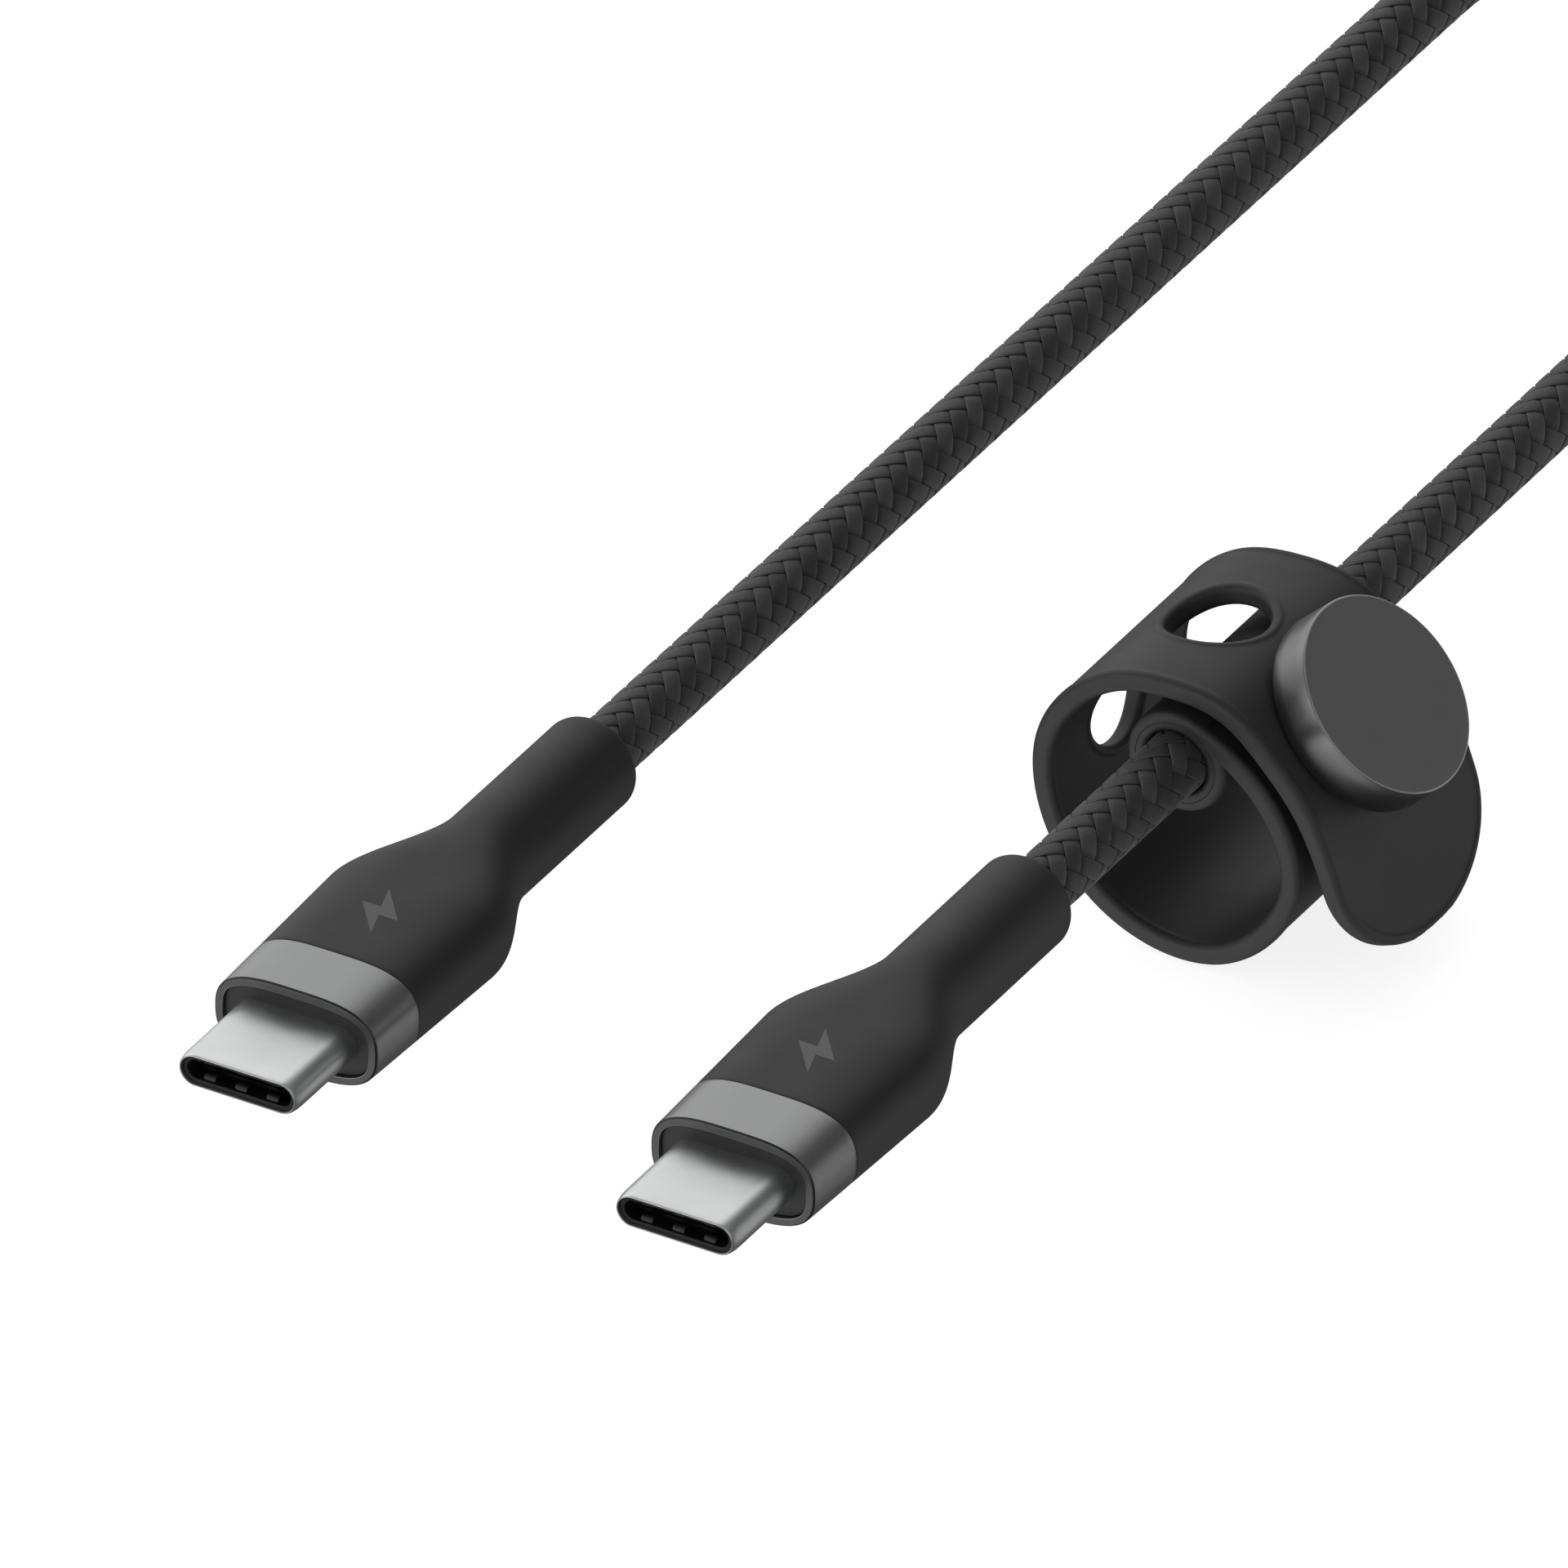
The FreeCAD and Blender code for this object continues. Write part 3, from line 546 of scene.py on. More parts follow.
def boot(side, x):
    """The soft boot, hollow for the can, the crimp and the cable."""
    body_start = RING_END + 0.08
    body_end = NECK_START + 1.0
    stations = 72
    rings = []
    for y, inset in ((RING_END, 0.07), (RING_END + 0.025, 0.025), (body_start, 0.0)):
        rings.append(oblong_ring(y, *outline(RING_END, inset), x))
    for k in range(1, stations + 1):
        y = body_start + (body_end - body_start) * k / stations
        rings.append(oblong_ring(y, *outline(y), x))
    outside = [(y, NECK_R) for y in (32.0, 34.0, 36.0, 38.0, NECK_END - NECK_ROUND - 0.6)]
    for degrees in range(0, 91, 9):
        a = math.radians(degrees)
        outside.append((NECK_END - NECK_ROUND * (1 - math.sin(a)),
                        NECK_R - NECK_ROUND * (1 - math.cos(a))))
    inside = [(NECK_END - 0.01, CABLE_BORE + 0.16), (NECK_END - 0.08, CABLE_BORE + 0.05),
              (NECK_END - 0.25, CABLE_BORE), (33.0, CABLE_BORE), (CRIMP_HOLLOW_END, CABLE_BORE),
              (CRIMP_HOLLOW_END, CRIMP_HOLLOW_R), (BOOT_HOLLOW_END, CRIMP_HOLLOW_R)]
    for y, r in outside + inside:
        rings.append(oblong_ring(y, r, r, 2.0, 2.0, x))
    for y in (BOOT_HOLLOW_END, 15.0, RING_END):
        rings.append(oblong_ring(y, *BOOT_HOLLOW, x))
    piece = loft(side + "_soft_boot", rings, "soft_boot", True, 50.0)
    settle(piece, side + "_plug", side + "_boot")


def surface_z(x, y):
    """Height of the boot's top over a place on it."""
    half_w, half_h, across, upright = outline(y)
    return half_h * (1 - abs(x / half_w) ** across) ** (1 / upright)


def badge(side, x):
    """A plain lightning bolt, let into the boot and a hair proud of it."""
    length = BADGE_END - BADGE_START
    centre_y = (BADGE_END + BADGE_START) / 2
    corners = ((0.16, -0.50), (-0.32, 0.09), (-0.04, 0.09), (-0.16, 0.50), (0.32, -0.09),
               (0.04, -0.09))
    per_side = 10
    proud = 0.012
    depth = 0.12
    border = []
    for k, start in enumerate(corners):
        end = corners[(k + 1) % len(corners)]
        for step in range(per_side):
            share = step / per_side
            border.append(((start[0] + (end[0] - start[0]) * share) * length,
                           (start[1] + (end[1] - start[1]) * share) * length))
    count = len(border)
    edges = [(k, (k + 1) % count) for k in range(count)]
    flat, _, triangles, _, _, _ = delaunay_2d_cdt([Vector(p) for p in border], edges, [], 1, 1e-6)
    points = []
    for lift in (proud, -depth):
        for p in flat:
            points.append((x + p.x, centre_y + p.y, surface_z(p.x, centre_y + p.y) + lift))
    top = []
    for tri in triangles:
        a, b, c = (flat[v] for v in tri)
        top.append(tri if (b - a).cross(c - a) > 0 else tri[::-1])
    faces = slab_faces(top, len(flat))
    piece = new_piece(side + "_bolt_badge", points, faces, "badge_grey", 30.0)
    settle(piece, side + "_plug", side + "_badge")


for side_name, axis_x in AXIS_X.items():
    for make in (plug_shell, insulator, ground_springs, trim_ring, face_plate, boot, badge):
        make(side_name, axis_x)


# ---- cable path ----
STRAIGHT_END = 142.0  # the straight leads run this far from the plugs' tips
DROP_LENGTH = 40.0  # the double bend that lowers a lead to the table
SWING_R = 40.0
COIL_R = 41.8
COIL_FLAT = 24.0
COIL_FLOOR_Z = -12.0
COIL_CLIMB = 4.4
UP = np.array((0.0, 0.0, 1.0))


def cable_moves():
    """The path from the left plug's mouth to the right one's, as runs, steps and turns."""
    pitch = AXIS_X["right"] - AXIS_X["left"]
    swing = math.acos((pitch / 2 - COIL_FLAT / 2 + SWING_R) / (SWING_R + COIL_R))
    climb = COIL_CLIMB / 2
    part_turn = math.pi / 2 + swing
    lead_in = [("run", STRAIGHT_END, 0.0), ("step", DROP_LENGTH, COIL_FLOOR_Z),
               ("turn", -SWING_R, swing), ("turn", COIL_R, part_turn)]
    coil = [("step", COIL_FLAT, climb), ("turn", COIL_R, math.pi)] * 2
    lead_out = [("step", COIL_FLAT, climb), ("turn", COIL_R, part_turn),
                ("turn", -SWING_R, swing),
                ("step", DROP_LENGTH, -(COIL_FLOOR_Z + 3 * climb)),
                ("run", STRAIGHT_END, 0.0)]
    return lead_in + coil + lead_out


def turned(vector, axis, angle):
    """A vector turned about a unit axis. The angle may be an array."""
    vector = np.asarray(vector, float)
    angle = np.atleast_1d(angle)[:, None]
    along = axis * (vector @ axis)
    return along + (vector - along) * np.cos(angle) + np.cross(axis, vector) * np.sin(angle)


def cable_segments():
    """Each exact line or arc: start distance, length, place, heading, up, arc."""
    place = np.zeros(3)
    heading = np.array((0.0, 1.0, 0.0))
    travelled = 0.0
    segments = []
    for kind, size, amount in cable_moves():
        right = np.cross(heading, UP)
        if kind == "run":
            arcs = [(size, None, None, 0.0)]
        elif kind == "turn":
            arcs = [(abs(size) * amount, right * size, UP, -math.copysign(amount, size))]
        else:
            bend = 2 * math.atan(amount / size)
            radius = size / (2 * math.sin(bend))
            length = abs(radius * bend)
            middle_up = turned(UP, right, bend)[0]
            arcs = [(length, UP * radius, right, bend),
                    (length, middle_up * -radius, right, -bend)]
        for length, to_centre, axis, angle in arcs:
            up = np.cross(np.cross(heading, UP), heading)
            up = up / np.linalg.norm(up)
            segments.append((travelled, length, place, heading, up, to_centre, axis, angle))
            if axis is None:
                place = place + heading * length
            else:
                centre = place + to_centre
                place = centre + turned(-to_centre, axis, angle)[0]
                heading = turned(heading, axis, angle)[0]
            travelled += length
    return segments, travelled


SEGMENTS, CABLE_LENGTH = cable_segments()


def along_cable(distances):
    """Centre, right and up vectors of the cable at distances from the left mouth."""
    distances = np.asarray(distances, float)
    centre = np.zeros(distances.shape + (3,))
    right = np.zeros_like(centre)
    top = np.zeros_like(centre)
    for start, length, place, heading, up, to_centre, axis, angle in SEGMENTS:
        here = (distances >= start - 1e-9) & (distances <= start + length + 1e-9)
        if start == 0.0:
            here |= distances < start
        if start + length > CABLE_LENGTH - 1e-6:
            here |= distances > start + length
        past = distances[here] - start
        side = np.cross(heading, up)
        if axis is None:
            centre[here] = place + heading * past[:, None]
            right[here] = side
            top[here] = up
        else:
            bend = angle * past / length
            centre[here] = place + to_centre + turned(-to_centre, axis, bend)
            right[here] = turned(side, axis, bend)
            top[here] = turned(up, axis, bend)
    return centre, right, top


# ---- braid ----
TAPES = 8  # tapes each way round
BRAID_LEAD = 14.3  # one turn of a tape along the cable
CABLE_R = 2.0
CROSSING = BRAID_LEAD / (2 * TAPES)
TAPE_HALF = 0.545
TAPE_T = 0.13
TAPE_MEAN_R = 1.870
TAPE_SWING = 0.078
TAPE_CROWN = 0.015
# A tape's section: share of its half width, share of its thickness, and a factor of painted
# highlight along its edges and painted shade at its corners and underside.
TAPE_SHAPE = ((-1.0, -0.1, 0.5), (-0.975, 0.36, 1.7), (-0.90, 0.47, 1.1), (-0.5, 0.5, 1.0),
              (0.0, 0.5, 1.0), (0.5, 0.5, 1.0), (0.90, 0.47, 1.1), (0.975, 0.36, 1.7),
              (1.0, -0.1, 0.5), (0.6, -0.5, 0.3), (-0.6, -0.5, 0.3))
COLUMN_TURN = math.radians(-21.0)  # how far the weave has turned by the right plug
TURN_MARGIN = 200.0  # each end's length over which it doesn't turn
PALE_TAPE = 1.85  # every other tape one way
PLAIN_TAPE = 1.1
CROSS_TAPE = 1.15
# Painted shade: how pale a tape stays where it dives under the crossing tapes.
DIVE_SHADE_SHARE = 0.25  # paleness of a tape where it dives under
SEED_STEP = 7.3  # how far apart the tapes' fibres lie in their noise
STEEPNESS = 3.4  # how quickly a tape dives
HELIX = math.atan(2 * math.pi * CABLE_R / BRAID_LEAD)


def tape_level(phase):
    """How far out a tape lies, from -1 under to 1 over, by its crossing count."""
    wave = np.cos(2 * math.pi * (phase - 0.5) / 4)
    return np.tanh(STEEPNESS * wave) / math.tanh(STEEPNESS)


def braid(name, start, end, step):
    """Sixteen flat tapes woven two over, two under, along a stretch of the cable."""
    count = int(math.ceil((end - start) / step)) + 1
    distances = np.linspace(start, end, count)
    shape = np.array(TAPE_SHAPE)
    crossing = distances / CROSSING
    turning = np.clip((distances - TURN_MARGIN) / (CABLE_LENGTH - 2 * TURN_MARGIN), 0, 1)
    across = shape[:, 0] * TAPE_HALF
    rise = shape[:, 1] * TAPE_T + TAPE_CROWN * (1 - shape[:, 0] ** 2)
    points = []
    faces = []
    place = []
    tone_and_shade = []
    for way in (1, -1):
        for k in range(TAPES):
            level = -way * tape_level(np.mod(2 * k + way * crossing, 4.0))
            turn = (2 * math.pi * (k / TAPES + way * distances / BRAID_LEAD)
                    + COLUMN_TURN * turning)
            radius = (TAPE_MEAN_R + TAPE_SWING * level)[:, None] + rise[None, :]
            shift = -way * across * math.sin(HELIX)
            spread = across * math.cos(HELIX) / TAPE_MEAN_R
            place_along = distances[:, None] + shift[None, :]
            angle = turn[:, None] + spread[None, :]
            flat = place_along.ravel()
            centre, right, top = along_cable(flat)
            out = right * np.cos(angle).ravel()[:, None] + top * np.sin(angle).ravel()[:, None]
            tube = centre + out * radius.ravel()[:, None]
            base = len(points) * count * len(shape)
            points.append(tube)
            faces += ring_faces(count, len(shape), False, base)
            seed = k + (TAPES if way < 0 else 0)
            tape = np.stack([np.broadcast_to(across, radius.shape).ravel(),
                             np.broadcast_to(distances[:, None], radius.shape).ravel(),
                             np.full(radius.size, seed * SEED_STEP)], 1)
            place.append(tape)
            paler = CROSS_TAPE if way < 0 else (PALE_TAPE if k % 2 == 0 else PLAIN_TAPE)
            # Painted shade darkens a tape where it dives under the crossing tapes. The tape's own
            # paleness and its section's painted edge highlights multiply in.
            dive_shade = np.clip((level + 0.1) / 1.05, 0.0, 1.0)
            dive_shade = DIVE_SHADE_SHARE + (1 - DIVE_SHADE_SHARE) * dive_shade * dive_shade * (3 - 2 * dive_shade)
            tone_and_shade.append((paler * dive_shade[:, None] * shape[None, :, 2]).ravel())
    piece = new_piece(name, np.concatenate(points), faces, "braid", 60.0)
    for key, kind, field, values in (("tape_place", "FLOAT_VECTOR", "vector", place),
                                     ("tape_tone_and_shade", "FLOAT", "value", tone_and_shade)):
        attribute = piece.data.attributes.new(key, kind, "POINT")
        attribute.data.foreach_set(field, np.concatenate(values).astype(np.float32).ravel())
    return piece


def core(name, start, end):
    """The dark tube that shows between the tapes."""
    radius = 1.72
    around = 32
    step = 0.5
    count = max(int((end - start) / step), 2)
    distances = np.linspace(start, end, count)
    angle = np.linspace(0, 2 * math.pi, around, endpoint=False)
    centre, right, top = along_cable(distances)
    rings = []
    for k in range(count):
        rings.append(centre[k] + radius * (np.cos(angle)[:, None] * right[k]
                                           + np.sin(angle)[:, None] * top[k]))
    return loft(name, rings, "inner_jacket", False, 50.0)


CRIMP_END = node_box("left_crimp")[1].y
LEAD_START = node_box("left_lead_stub")[0].y
SLEEVE_START = node_box("cable_jacket")[0].y
LEAD_END = STRAIGHT_END + 6.0  # where the leads' finer mesh stops
PITCH_Y = 45.0  # the two bends behind the boot
YAW_Y = 51.0
BEND_HALF = 3.0
FINE_STEP = 0.30
COARSE_STEP = 0.45


def stretch(maker, name, side, start, end, *rest):
    """Makes a piece of braid or core between two distances from one side's mouth."""
    if side == "right":
        start, end = CABLE_LENGTH - end, CABLE_LENGTH - start
    return maker(name, start, end, *rest)


def blend_along(piece):
    """Bakes a piece of the lead's placing into its mesh; the piece is not bent."""
    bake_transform(piece)


def build_lead(side):
    """The braid from the crimp to the end of the straight lead, with both bends."""
    plug = side + "_plug"
    first = PITCH_Y - BEND_HALF
    second = PITCH_Y + BEND_HALF
    third = YAW_Y + BEND_HALF
    inner = stretch(braid, side + "_braid_in_boot", side, CRIMP_END + 0.6, first, FINE_STEP)
    settle(inner, plug, side + "_lead_stub")
    for part, maker, rest in (("braid", braid, (FINE_STEP,)), ("core", core, ())):
        near = stretch(maker, f"{side}_{part}_bend_1", side, first, second, *rest)
        blend_along(near)
        stop = third if part == "braid" else SLEEVE_START - 0.05
        far = stretch(maker, f"{side}_{part}_bend_2", side, second, stop, *rest)
        blend_along(far)
        if part == "braid":
            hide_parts(side + "_flex_link")
    inside = stretch(core, side + "_core_in_boot", side, LEAD_START, first)
    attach(inside, plug)
    outer = stretch(braid, side + "_braid_lead", side, third, LEAD_END, FINE_STEP)
    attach(outer, "cable")
    if side == "left":
        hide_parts("cable_sleeve")


for side_name, axis_x in AXIS_X.items():
    build_lead(side_name)
coil_braid = braid("coil_braid", LEAD_END, CABLE_LENGTH - LEAD_END, COARSE_STEP)
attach(coil_braid, "cable")


# ---- strap ----
STRAP_X = AXIS_X["right"]
STRAP_T = 1.4
RIM_ROUND = 0.45
STRAP_SHARP = 38.0  # edges over this many degrees are shown sharp
BAND_SAMPLES = 6000
# The band's middle line across the lead's axis, from the eyelet round to the pull tab.
BAND_CENTRE = (
    (0.0, 2.65), (2.06, 1.98), (5.0, 0.03), (7.2, -3.1), (7.82, -6.48), (6.26, -10.1),
    (2.6, -12.9), (-2.3, -12.86), (-6.7, -10.0), (-8.99, -5.6), (-9.04, -1.17),
    (-7.2, 2.1), (-4.26, 4.26), (-0.74, 4.90), (3.05, 4.40), (6.22, 1.90),
    (8.55, -0.95), (10.05, -4.0), (10.9, -6.4), (12.8, -11.62),
)
BAND_PIVOT = (-6.55, 2.75)  # where it bends open
HOLE_R = 3.15
HOLE_PLACES = ((-1.8, 4.88), (-9.23, -2.65), (7.10, 0.93))
TAB_ROOT = (10.5, -5.95)
TAB_LENGTH = 6.4


def cubic_spline(points, samples):
    """A smooth curve through the points, with parabolic end slopes, finely sampled."""
    p = np.asarray(points, float)
    chord = np.linalg.norm(np.diff(p, axis=0), axis=1)
    t = np.concatenate([[0.0], np.cumsum(chord)])
    n = len(p)
    h = np.diff(t)
    slope = np.diff(p, axis=0) / h[:, None]
    start = slope[0] + (slope[0] - slope[1]) * h[0] / (h[0] + h[1])
    end = slope[-1] + (slope[-1] - slope[-2]) * h[-1] / (h[-1] + h[-2])
    system = np.zeros((n, n))
    known = np.zeros((n, 2))
    system[0, 0] = system[-1, -1] = 1.0
    known[0] = start
    known[-1] = end
    for k in range(1, n - 1):
        system[k, k - 1] = h[k]
        system[k, k] = 2 * (h[k - 1] + h[k])
        system[k, k + 1] = h[k - 1]
        known[k] = 3 * (slope[k - 1] * h[k] + slope[k] * h[k - 1])
    m = np.linalg.solve(system, known)
    at = np.linspace(0, t[-1], samples)
    k = np.clip(np.searchsorted(t, at, side="right") - 1, 0, n - 2)
    u = ((at - t[k]) / h[k])[:, None]
    hk = h[k][:, None]
    return ((1 + 2 * u) * (1 - u) ** 2 * p[k] + u * (1 - u) ** 2 * hk * m[k]
            + u * u * (3 - 2 * u) * p[k + 1] + u * u * (u - 1) * hk * m[k + 1])


BAND = cubic_spline(BAND_CENTRE, BAND_SAMPLES)
BAND_S = np.concatenate([[0.0], np.cumsum(np.linalg.norm(np.diff(BAND, axis=0), axis=1))])
BAND_SLOPE = np.gradient(BAND, BAND_S, axis=0)


def nearest_on_band(place):
    """Distance along the band of the point that is nearest to a place."""
    return BAND_S[np.argmin(np.linalg.norm(BAND - np.array(place), axis=1))]


def on_band(s, y, lift):
    """Points on the band: distance along it, place across it, and height over its middle."""
    s = np.asarray(s, float)
    px = np.interp(s, BAND_S, BAND[:, 0])
    pz = np.interp(s, BAND_S, BAND[:, 1])
    tx = np.interp(s, BAND_S, BAND_SLOPE[:, 0])
    tz = np.interp(s, BAND_S, BAND_SLOPE[:, 1])
    scale = np.hypot(tx, tz)
    nx = -tz / scale
    nz = tx / scale
    across = np.broadcast_to(STRAP_MID + np.asarray(y, float), s.shape)
    return np.stack([STRAP_X + px + nx * lift, across, pz + nz * lift], 1)


S_PIVOT = nearest_on_band(BAND_PIVOT)
S_HOLES = [nearest_on_band(place) for place in HOLE_PLACES]
S_TAB = nearest_on_band(TAB_ROOT)
RIM_STEPS = (0.0, 0.02, 0.07, 0.15, 0.26, 0.38, 0.48, 0.55, 0.62, 0.72, 0.90)
RIM_PROUD = 0.07
RIM_FALL = (0.05, 0.22)  # the bead falls to the band after a flat, over a width
GRID = 0.42
HOLE_POINTS = 64
TAB_POINTS = 60
GRID_MARGIN = 1.2
EYELET_REACH = 5.0  # the band lies along the eyelet for this long


def rim_height(depth):
    """Half the band's thickness at a distance in from its edge: a round rim, a hair proud."""
    gone = np.clip(RIM_ROUND - depth, 0.0, RIM_ROUND)
    fall = np.clip((depth - RIM_ROUND - RIM_FALL[0]) / RIM_FALL[1], 0.0, 1.0)
    return (STRAP_T / 2 - RIM_ROUND + np.sqrt(np.maximum(RIM_ROUND ** 2 - gone ** 2, 0.0))
            - RIM_PROUD * fall * fall * (3 - 2 * fall))


def tab_outline(inset):
    """The half oval end of the pull tab, drawn in by an inset."""
    turn = np.linspace(-math.pi / 2, math.pi / 2, TAB_POINTS)
    a = TAB_LENGTH - inset
    b = STRAP_HALF - inset
    return np.stack([S_TAB + a * np.cos(turn), b * np.sin(turn)], 1)


def edge_distance(p, tab):
    """How far points of the flat band lie inside its outline and holes."""
    depth = STRAP_HALF - np.abs(p[:, 1])
    if tab:
        past = p[:, 0] > S_TAB
        apart = p[past][:, None, :] - tab_outline(0.0)[None, :, :]
        gaps = np.linalg.norm(apart, axis=2).min(axis=1)
        inside = ((p[past, 0] - S_TAB) / TAB_LENGTH) ** 2 + (p[past, 1] / STRAP_HALF) ** 2 < 1
        depth[past] = np.where(inside, gaps, -gaps)
    for s_hole in S_HOLES:
        depth = np.minimum(depth, np.hypot(p[:, 0] - s_hole, p[:, 1]) - HOLE_R)
    return depth


def band_sheet(s0, s1, tab=False):
    """Triangles of the flat band between two places, with its rims and holes."""
    straight_end = S_TAB if tab else s1
    reach = S_TAB + TAB_LENGTH if tab else s1
    around = np.linspace(0, 2 * math.pi, HOLE_POINTS, endpoint=False)
    circle = np.stack([np.cos(around), np.sin(around)], 1)
    edge_s = np.linspace(s0, straight_end, max(int((s1 - s0) / GRID), 3) + 1)
    cloud = []
    for inset in RIM_STEPS:
        for sign in (1, -1):
            cloud.append(np.stack([edge_s, np.full(len(edge_s), sign * (STRAP_HALF - inset))], 1))
        if tab:
            cloud.append(tab_outline(inset))
        for s_hole in S_HOLES:
            if s0 < s_hole < s1:
                cloud.append((s_hole, 0.0) + (HOLE_R + inset) * circle)
    rows = np.arange(s0, reach + 1e-6, (reach - s0) / max(round((reach - s0) / GRID), 1))
    columns = np.linspace(-STRAP_HALF + GRID_MARGIN, STRAP_HALF - GRID_MARGIN,
                          int(2 * STRAP_HALF / GRID))
    grid = np.stack(np.meshgrid(rows, columns), -1).reshape(-1, 2)
    grid = grid[edge_distance(grid, tab) > RIM_STEPS[-1] + 0.2]
    cloud.append(grid)
    cloud = np.concatenate(cloud)
    cloud = cloud[(cloud[:, 0] >= s0 - 1e-9) & (cloud[:, 0] <= reach + 1e-9)]
    cloud = cloud[edge_distance(cloud, tab) > -1e-4]
    cloud = np.unique(np.round(cloud, 5), axis=0)
    flat, _, triangles, _, _, _ = delaunay_2d_cdt([Vector(p) for p in cloud], [], [], 0, 1e-5)
    flat = np.array([(p.x, p.y) for p in flat])
    triangles = np.array(triangles)
    middles = flat[triangles].mean(1)
    triangles = triangles[edge_distance(middles, tab) > 1e-4]
    a, b, c = (flat[triangles[:, k]] for k in range(3))
    twist = (b[:, 0] - a[:, 0]) * (c[:, 1] - a[:, 1]) - (b[:, 1] - a[:, 1]) * (c[:, 0] - a[:, 0])
    triangles[twist < 0] = triangles[twist < 0][:, ::-1]
    return flat, triangles[np.abs(twist) > 1e-9]


def band_piece(name, s0, s1, tab=False, keep_out=0.0):
    """A closed solid stretch of the band. Its inner side stays keep_out off the axis."""
    flat, triangles = band_sheet(s0, s1, tab)
    height = rim_height(edge_distance(flat, tab))
    top = on_band(flat[:, 0], flat[:, 1], height)
    bottom = on_band(flat[:, 0], flat[:, 1], -height)
    if keep_out:
        gap = np.hypot(bottom[:, 0] - STRAP_X, bottom[:, 2])
        near = (gap < keep_out) & (flat[:, 0] < EYELET_REACH)
        grow = (keep_out / gap)[near]
        bottom[near, 0] = STRAP_X + (bottom[near, 0] - STRAP_X) * grow
        bottom[near, 2] = bottom[near, 2] * grow
    faces = slab_faces(triangles[:, ::-1].tolist(), len(flat))
    return new_piece(name, np.concatenate([top, bottom]), faces, "silicone", STRAP_SHARP)


def turned_tube(name, x, profile, look):
    """A closed round tube about a line along Y, from (radius, y) pairs."""
    around = 96
    angle = np.linspace(0, 2 * math.pi, around, endpoint=False)
    rings = []
    for radius, y in profile:
        rings.append(np.stack([x + radius * np.cos(angle), np.full(around, float(y)),
                               radius * np.sin(angle)], 1))
    return loft(name, rings, look, True, STRAP_SHARP)


def rounded_tube_profile(r_in, r_out, y0, y1, round_in, round_out):
    """The section of a tube whose end corners are rounded, inside first."""
    steps = np.linspace(0, math.pi / 2, 7)
    profile = [(r_in, (y0 + y1) / 2)]
    for r, rounding, side in ((r_in, round_in, 1), (r_out, round_out, -1)):
        for a in steps[::side]:
            profile.append((r + side * rounding * (1 - math.cos(a)),
                            y0 + rounding * (1 - math.sin(a))))
    profile.append((r_out, (y0 + y1) / 2))
    return profile + [(r, y0 + y1 - y) for r, y in profile[-2:0:-1]]


def join(piece, other):
    """Unites two closed pieces in the first and removes the second."""
    modifier = piece.modifiers.new("join", "BOOLEAN")
    modifier.operation = "UNION"
    modifier.solver = "EXACT"
    modifier.object = other
    depsgraph = bpy.context.evaluated_depsgraph_get()
    result = bpy.data.meshes.new_from_object(piece.evaluated_get(depsgraph))
    piece.modifiers.clear()
    old = piece.data
    piece.data = result
    bpy.data.meshes.remove(old)
    bpy.data.objects.remove(other)
    result.shade_smooth()
    result.set_sharp_from_angle(angle=math.radians(STRAP_SHARP))


BORE_R = 2.13
SPLIT_R = 2.70
EYELET_R = 3.37
BAND_KEEP_OUT = 2.95  # the band's inner side stays this far from the axis
BEND_START = S_PIVOT - 2.4
BEND_END = S_PIVOT + 1.5
TUCK = 0.02  # the eyelet's gap from its liner
liner = turned_tube("strap_liner", STRAP_X,
                    rounded_tube_profile(BORE_R, SPLIT_R, STRAP_START, STRAP_END, 0.3, TUCK),
                    "silicone")
settle(liner, "strap_eyelet", "strap_eyelet_liner")

loop = band_piece("strap_inner_band", 0.0, BEND_START, keep_out=BAND_KEEP_OUT)
eyelet = turned_tube("strap_eyelet_tube", STRAP_X,
                     rounded_tube_profile(SPLIT_R + TUCK, EYELET_R, STRAP_START - 0.01,
                                          STRAP_END + 0.01, TUCK, RIM_ROUND), "silicone")
join(loop, eyelet)
settle(loop, "strap_loop", "strap_loop")

bend = band_piece("strap_bend", BEND_START, BEND_END)
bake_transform(bend)

flap = band_piece("strap_outer_band", BEND_END, BAND_S[-1], tab=True)
settle(flap, "strap_flap", "strap_flap")


# ---- button ----
BUTTON_TILT = math.radians(43.0)
BUTTON_BASE = Vector((STRAP_X + 7.60, STRAP_MID, 1.45))
BUTTON_R = 6.45
BUTTON_T = 3.0
CAVITY_R = 5.3
CAVITY_TOP = 2.25


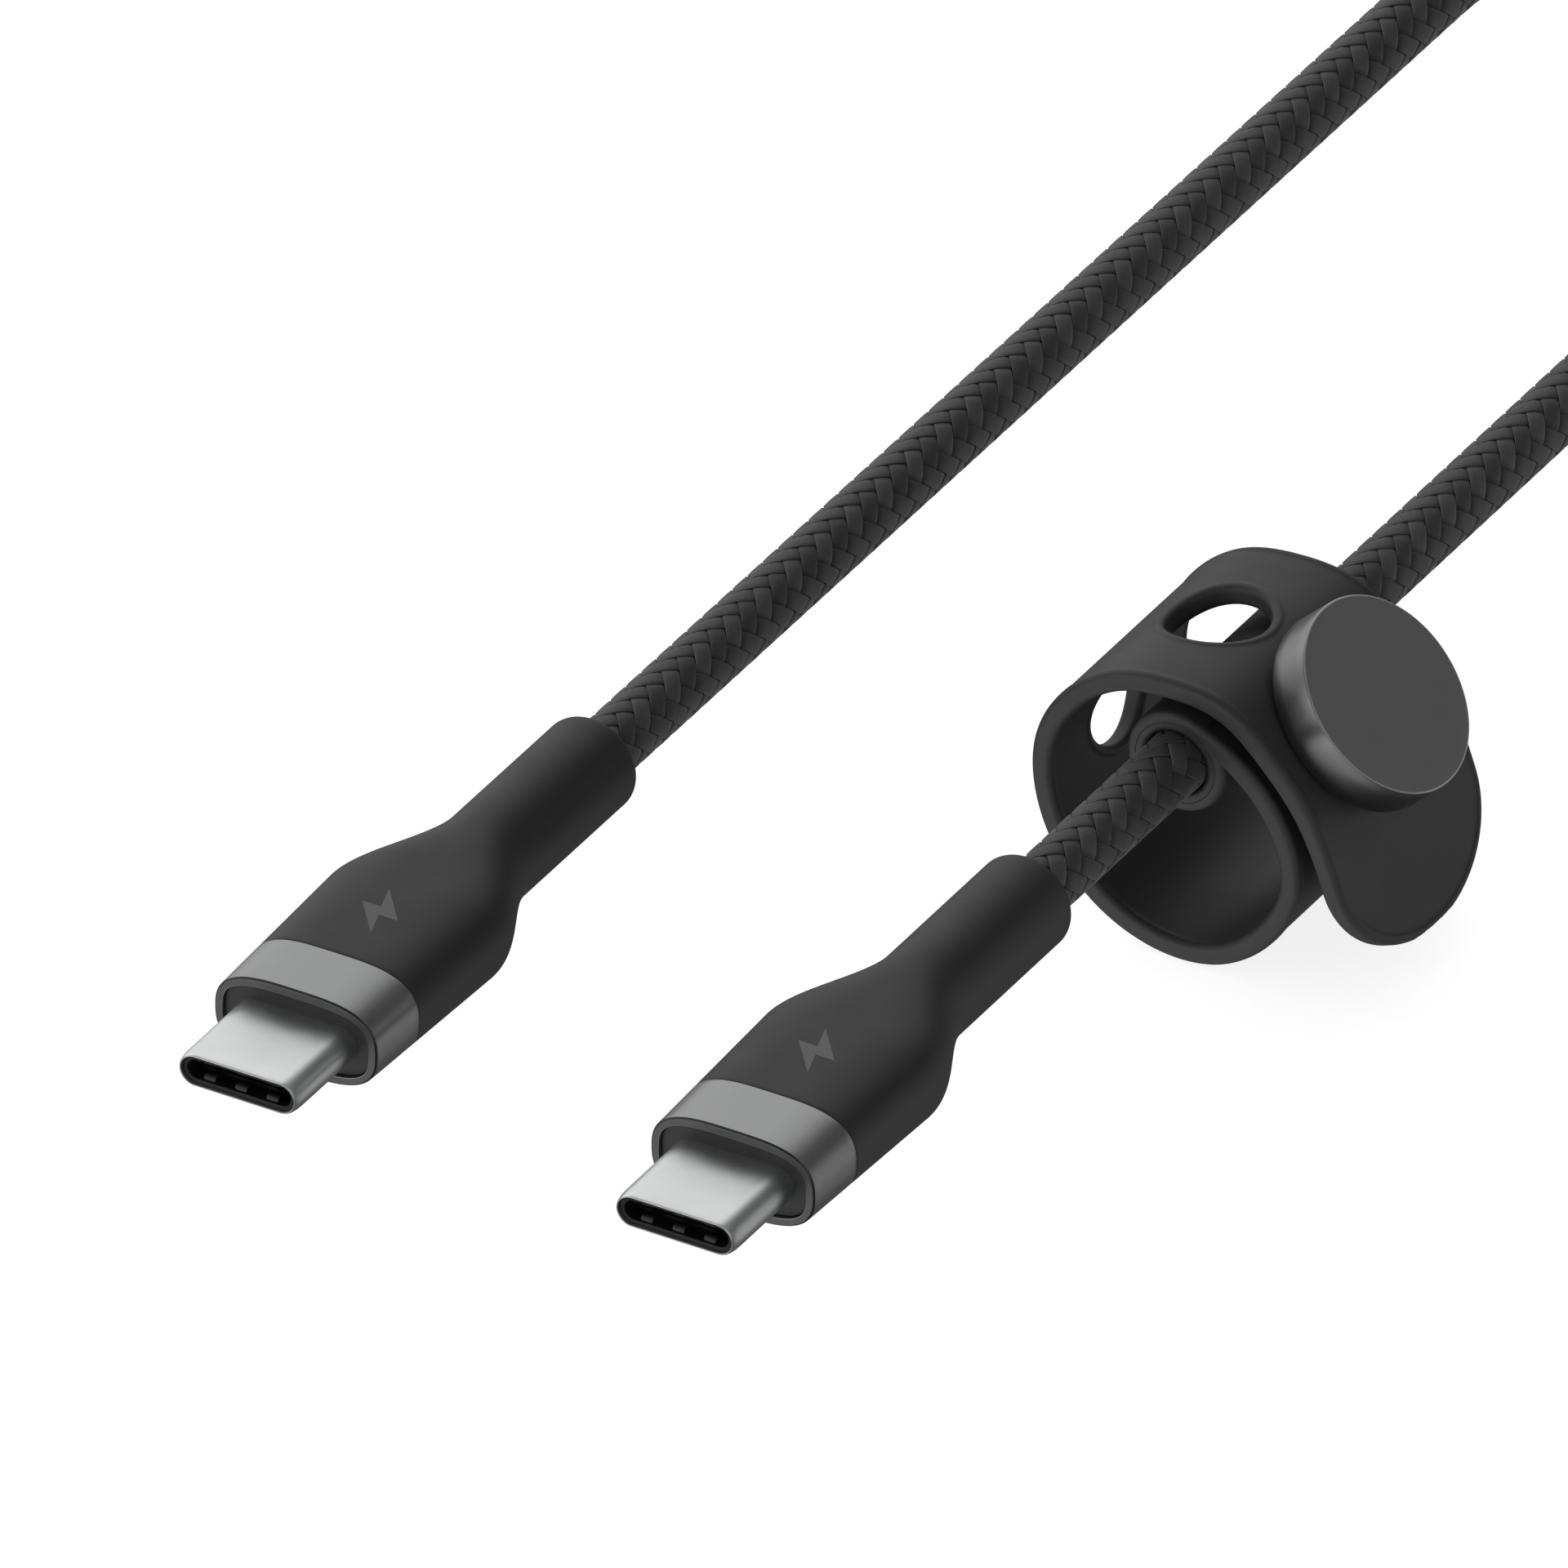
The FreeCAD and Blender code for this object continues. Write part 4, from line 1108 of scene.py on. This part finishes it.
def button():
    """The metal button: satin rim, a fine edge carrying a painted highlight, and a matt face,
    hollow below.
    """
    edge = [(6.30, BUTTON_T), (6.36, BUTTON_T - 0.008), (6.41, BUTTON_T - 0.035),
            (6.44, BUTTON_T - 0.075), (BUTTON_R, BUTTON_T - 0.13)]
    below = [(CAVITY_R, 0.0), (CAVITY_R, CAVITY_TOP), (3.0, CAVITY_TOP), (0.02, CAVITY_TOP)]
    face = [(0.02, BUTTON_T), (2.0, BUTTON_T), (4.0, BUTTON_T), (5.6, BUTTON_T)]
    side_wall = [(BUTTON_R, 2.0), (BUTTON_R, 1.0), (BUTTON_R, 0.2), (6.42, 0.08), (6.33, 0.0),
                 (5.9, 0.0)]
    face_from = len(below)
    edge_from = face_from + len(face)
    edge_to = edge_from + 2
    across = Vector((0, 1, 0))
    out = Vector((math.cos(BUTTON_TILT), 0, math.sin(BUTTON_TILT)))
    side = across.cross(out)
    around = 160
    rings = []
    for radius, height in below + face + edge + side_wall:
        ring = []
        for k in range(around):
            a = 2 * math.pi * k / around
            ring.append(BUTTON_BASE + out * height
                        + (across * math.cos(a) + side * math.sin(a)) * radius)
        rings.append(np.array(ring))
    piece = loft("strap_button", rings, "button_metal", True, 25.0)
    # The fine edge band carries a painted highlight.
    paint_bands(piece, around, (("button_face", face_from, edge_from),
                                ("button_edge", edge_from, edge_to)))
    settle(piece, "strap_flap", "button_cap")


button()


# ---- stage, light and camera ----
AZIMUTH = math.radians(30.5)
ELEVATION = math.radians(32.63)
AIM = Vector((11.1, 44.8, 0.0)) * MM
VIEW_WIDTH = 93.4 * MM
LENS = 1200.0  # so long that the view is nearly parallel
SENSOR = 36.0
FLOOR_GLOW = 0.82
STUDIO_BASE = 0.10
# Soft lights: a direction's away, right and up parts, degrees full, degrees none, level.
STUDIO = (
    (0.80, -0.30, 0.52, 20.0, 56.0, 0.80),
    (-0.60, -0.75, 0.10, 18.0, 38.0, 1.00),
    (-0.85, 0.30, 0.35, 10.0, 40.0, 0.35),
    (-0.35, -0.60, -0.70, 18.0, 48.0, 0.50),
    (0.15, -0.95, 0.30, 15.0, 50.0, 0.35),
    (0.29, 0.94, -0.18, 8.0, 34.0, 0.30),
    (0.00, 0.00, 1.00, 10.0, 55.0, 0.12),
)
FLOOR_GAP = 0.05
FLOOR_HALF = 6.0  # metres
RIGHT = Vector((math.cos(AZIMUTH), math.sin(AZIMUTH), 0))
AWAY = Vector((-math.sin(AZIMUTH), math.cos(AZIMUTH), 0))


def add_camera():
    """A far camera at the view's angle."""
    forward = AWAY * math.cos(ELEVATION) - Vector((0, 0, math.sin(ELEVATION)))
    top = RIGHT.cross(forward)
    distance = VIEW_WIDTH * LENS / SENSOR
    data = bpy.data.cameras.new("camera")
    data.lens = LENS
    data.sensor_width = SENSOR
    data.clip_start = 0.01
    data.clip_end = 20.0
    camera = bpy.data.objects.new("camera", data)
    turn = Matrix((RIGHT, top, -forward)).transposed().to_4x4()
    camera.matrix_world = Matrix.Translation(AIM - forward * distance) @ turn
    SCENE.collection.objects.link(camera)
    SCENE.camera = camera


def add_world():
    """A soft studio: bright behind and in front, dimmer overhead and dark to the right."""
    world = bpy.data.worlds.new("studio")
    SCENE.world = world
    world.use_nodes = True
    nodes = world.node_tree.nodes
    links = world.node_tree.links
    background = nodes["Background"]
    direction = nodes.new("ShaderNodeTexCoord").outputs["Generated"]
    added = nodes.new("ShaderNodeValue").outputs["Value"]
    added.default_value = STUDIO_BASE
    for away, right, up, full, none, level in STUDIO:
        centre = (AWAY * away + RIGHT * right + Vector((0, 0, up))).normalized()
        toward = nodes.new("ShaderNodeVectorMath")
        toward.operation = "DOT_PRODUCT"
        toward.inputs[1].default_value = centre
        links.new(direction, toward.inputs[0])
        ramp = map_range(nodes, math.cos(math.radians(none)), math.cos(math.radians(full)),
                         0.0, level)
        ramp.interpolation_type = "SMOOTHSTEP"
        links.new(toward.outputs["Value"], ramp.inputs["Value"])
        add = nodes.new("ShaderNodeMath")
        links.new(added, add.inputs[0])
        links.new(ramp.outputs["Result"], add.inputs[1])
        added = add.outputs["Value"]
    links.new(added, background.inputs["Strength"])
    background.inputs["Color"].default_value = (1.0, 1.0, 1.0, 1.0)


def add_floor():
    """A white table, faintly lit from below so that shadows stay pale."""
    made = Material("floor_paper", (0.76, 0.76, 0.76), 0.8)
    grain = made.noise(made.place(), 1.0 / (1.5 * MM), 3.0)
    made.bump(grain, 0.01)
    made.surface.inputs["Emission Color"].default_value = (1.0, 1.0, 1.0, 1.0)
    made.surface.inputs["Emission Strength"].default_value = FLOOR_GLOW
    drop = (FLOOR_Z - FLOOR_GAP) * MM
    corners = [(x * FLOOR_HALF, y * FLOOR_HALF, drop)
               for x, y in ((-1, -1), (1, -1), (1, 1), (-1, 1))]
    mesh = bpy.data.meshes.new("floor")
    mesh.from_pydata(corners, [], [(0, 1, 2, 3)])
    mesh.materials.append(made.data)
    floor = bpy.data.objects.new("floor", mesh)
    floor.visible_glossy = False
    SCENE.collection.objects.link(floor)


add_camera()
add_world()
add_floor()
SCENE.view_settings.view_transform = "Standard"
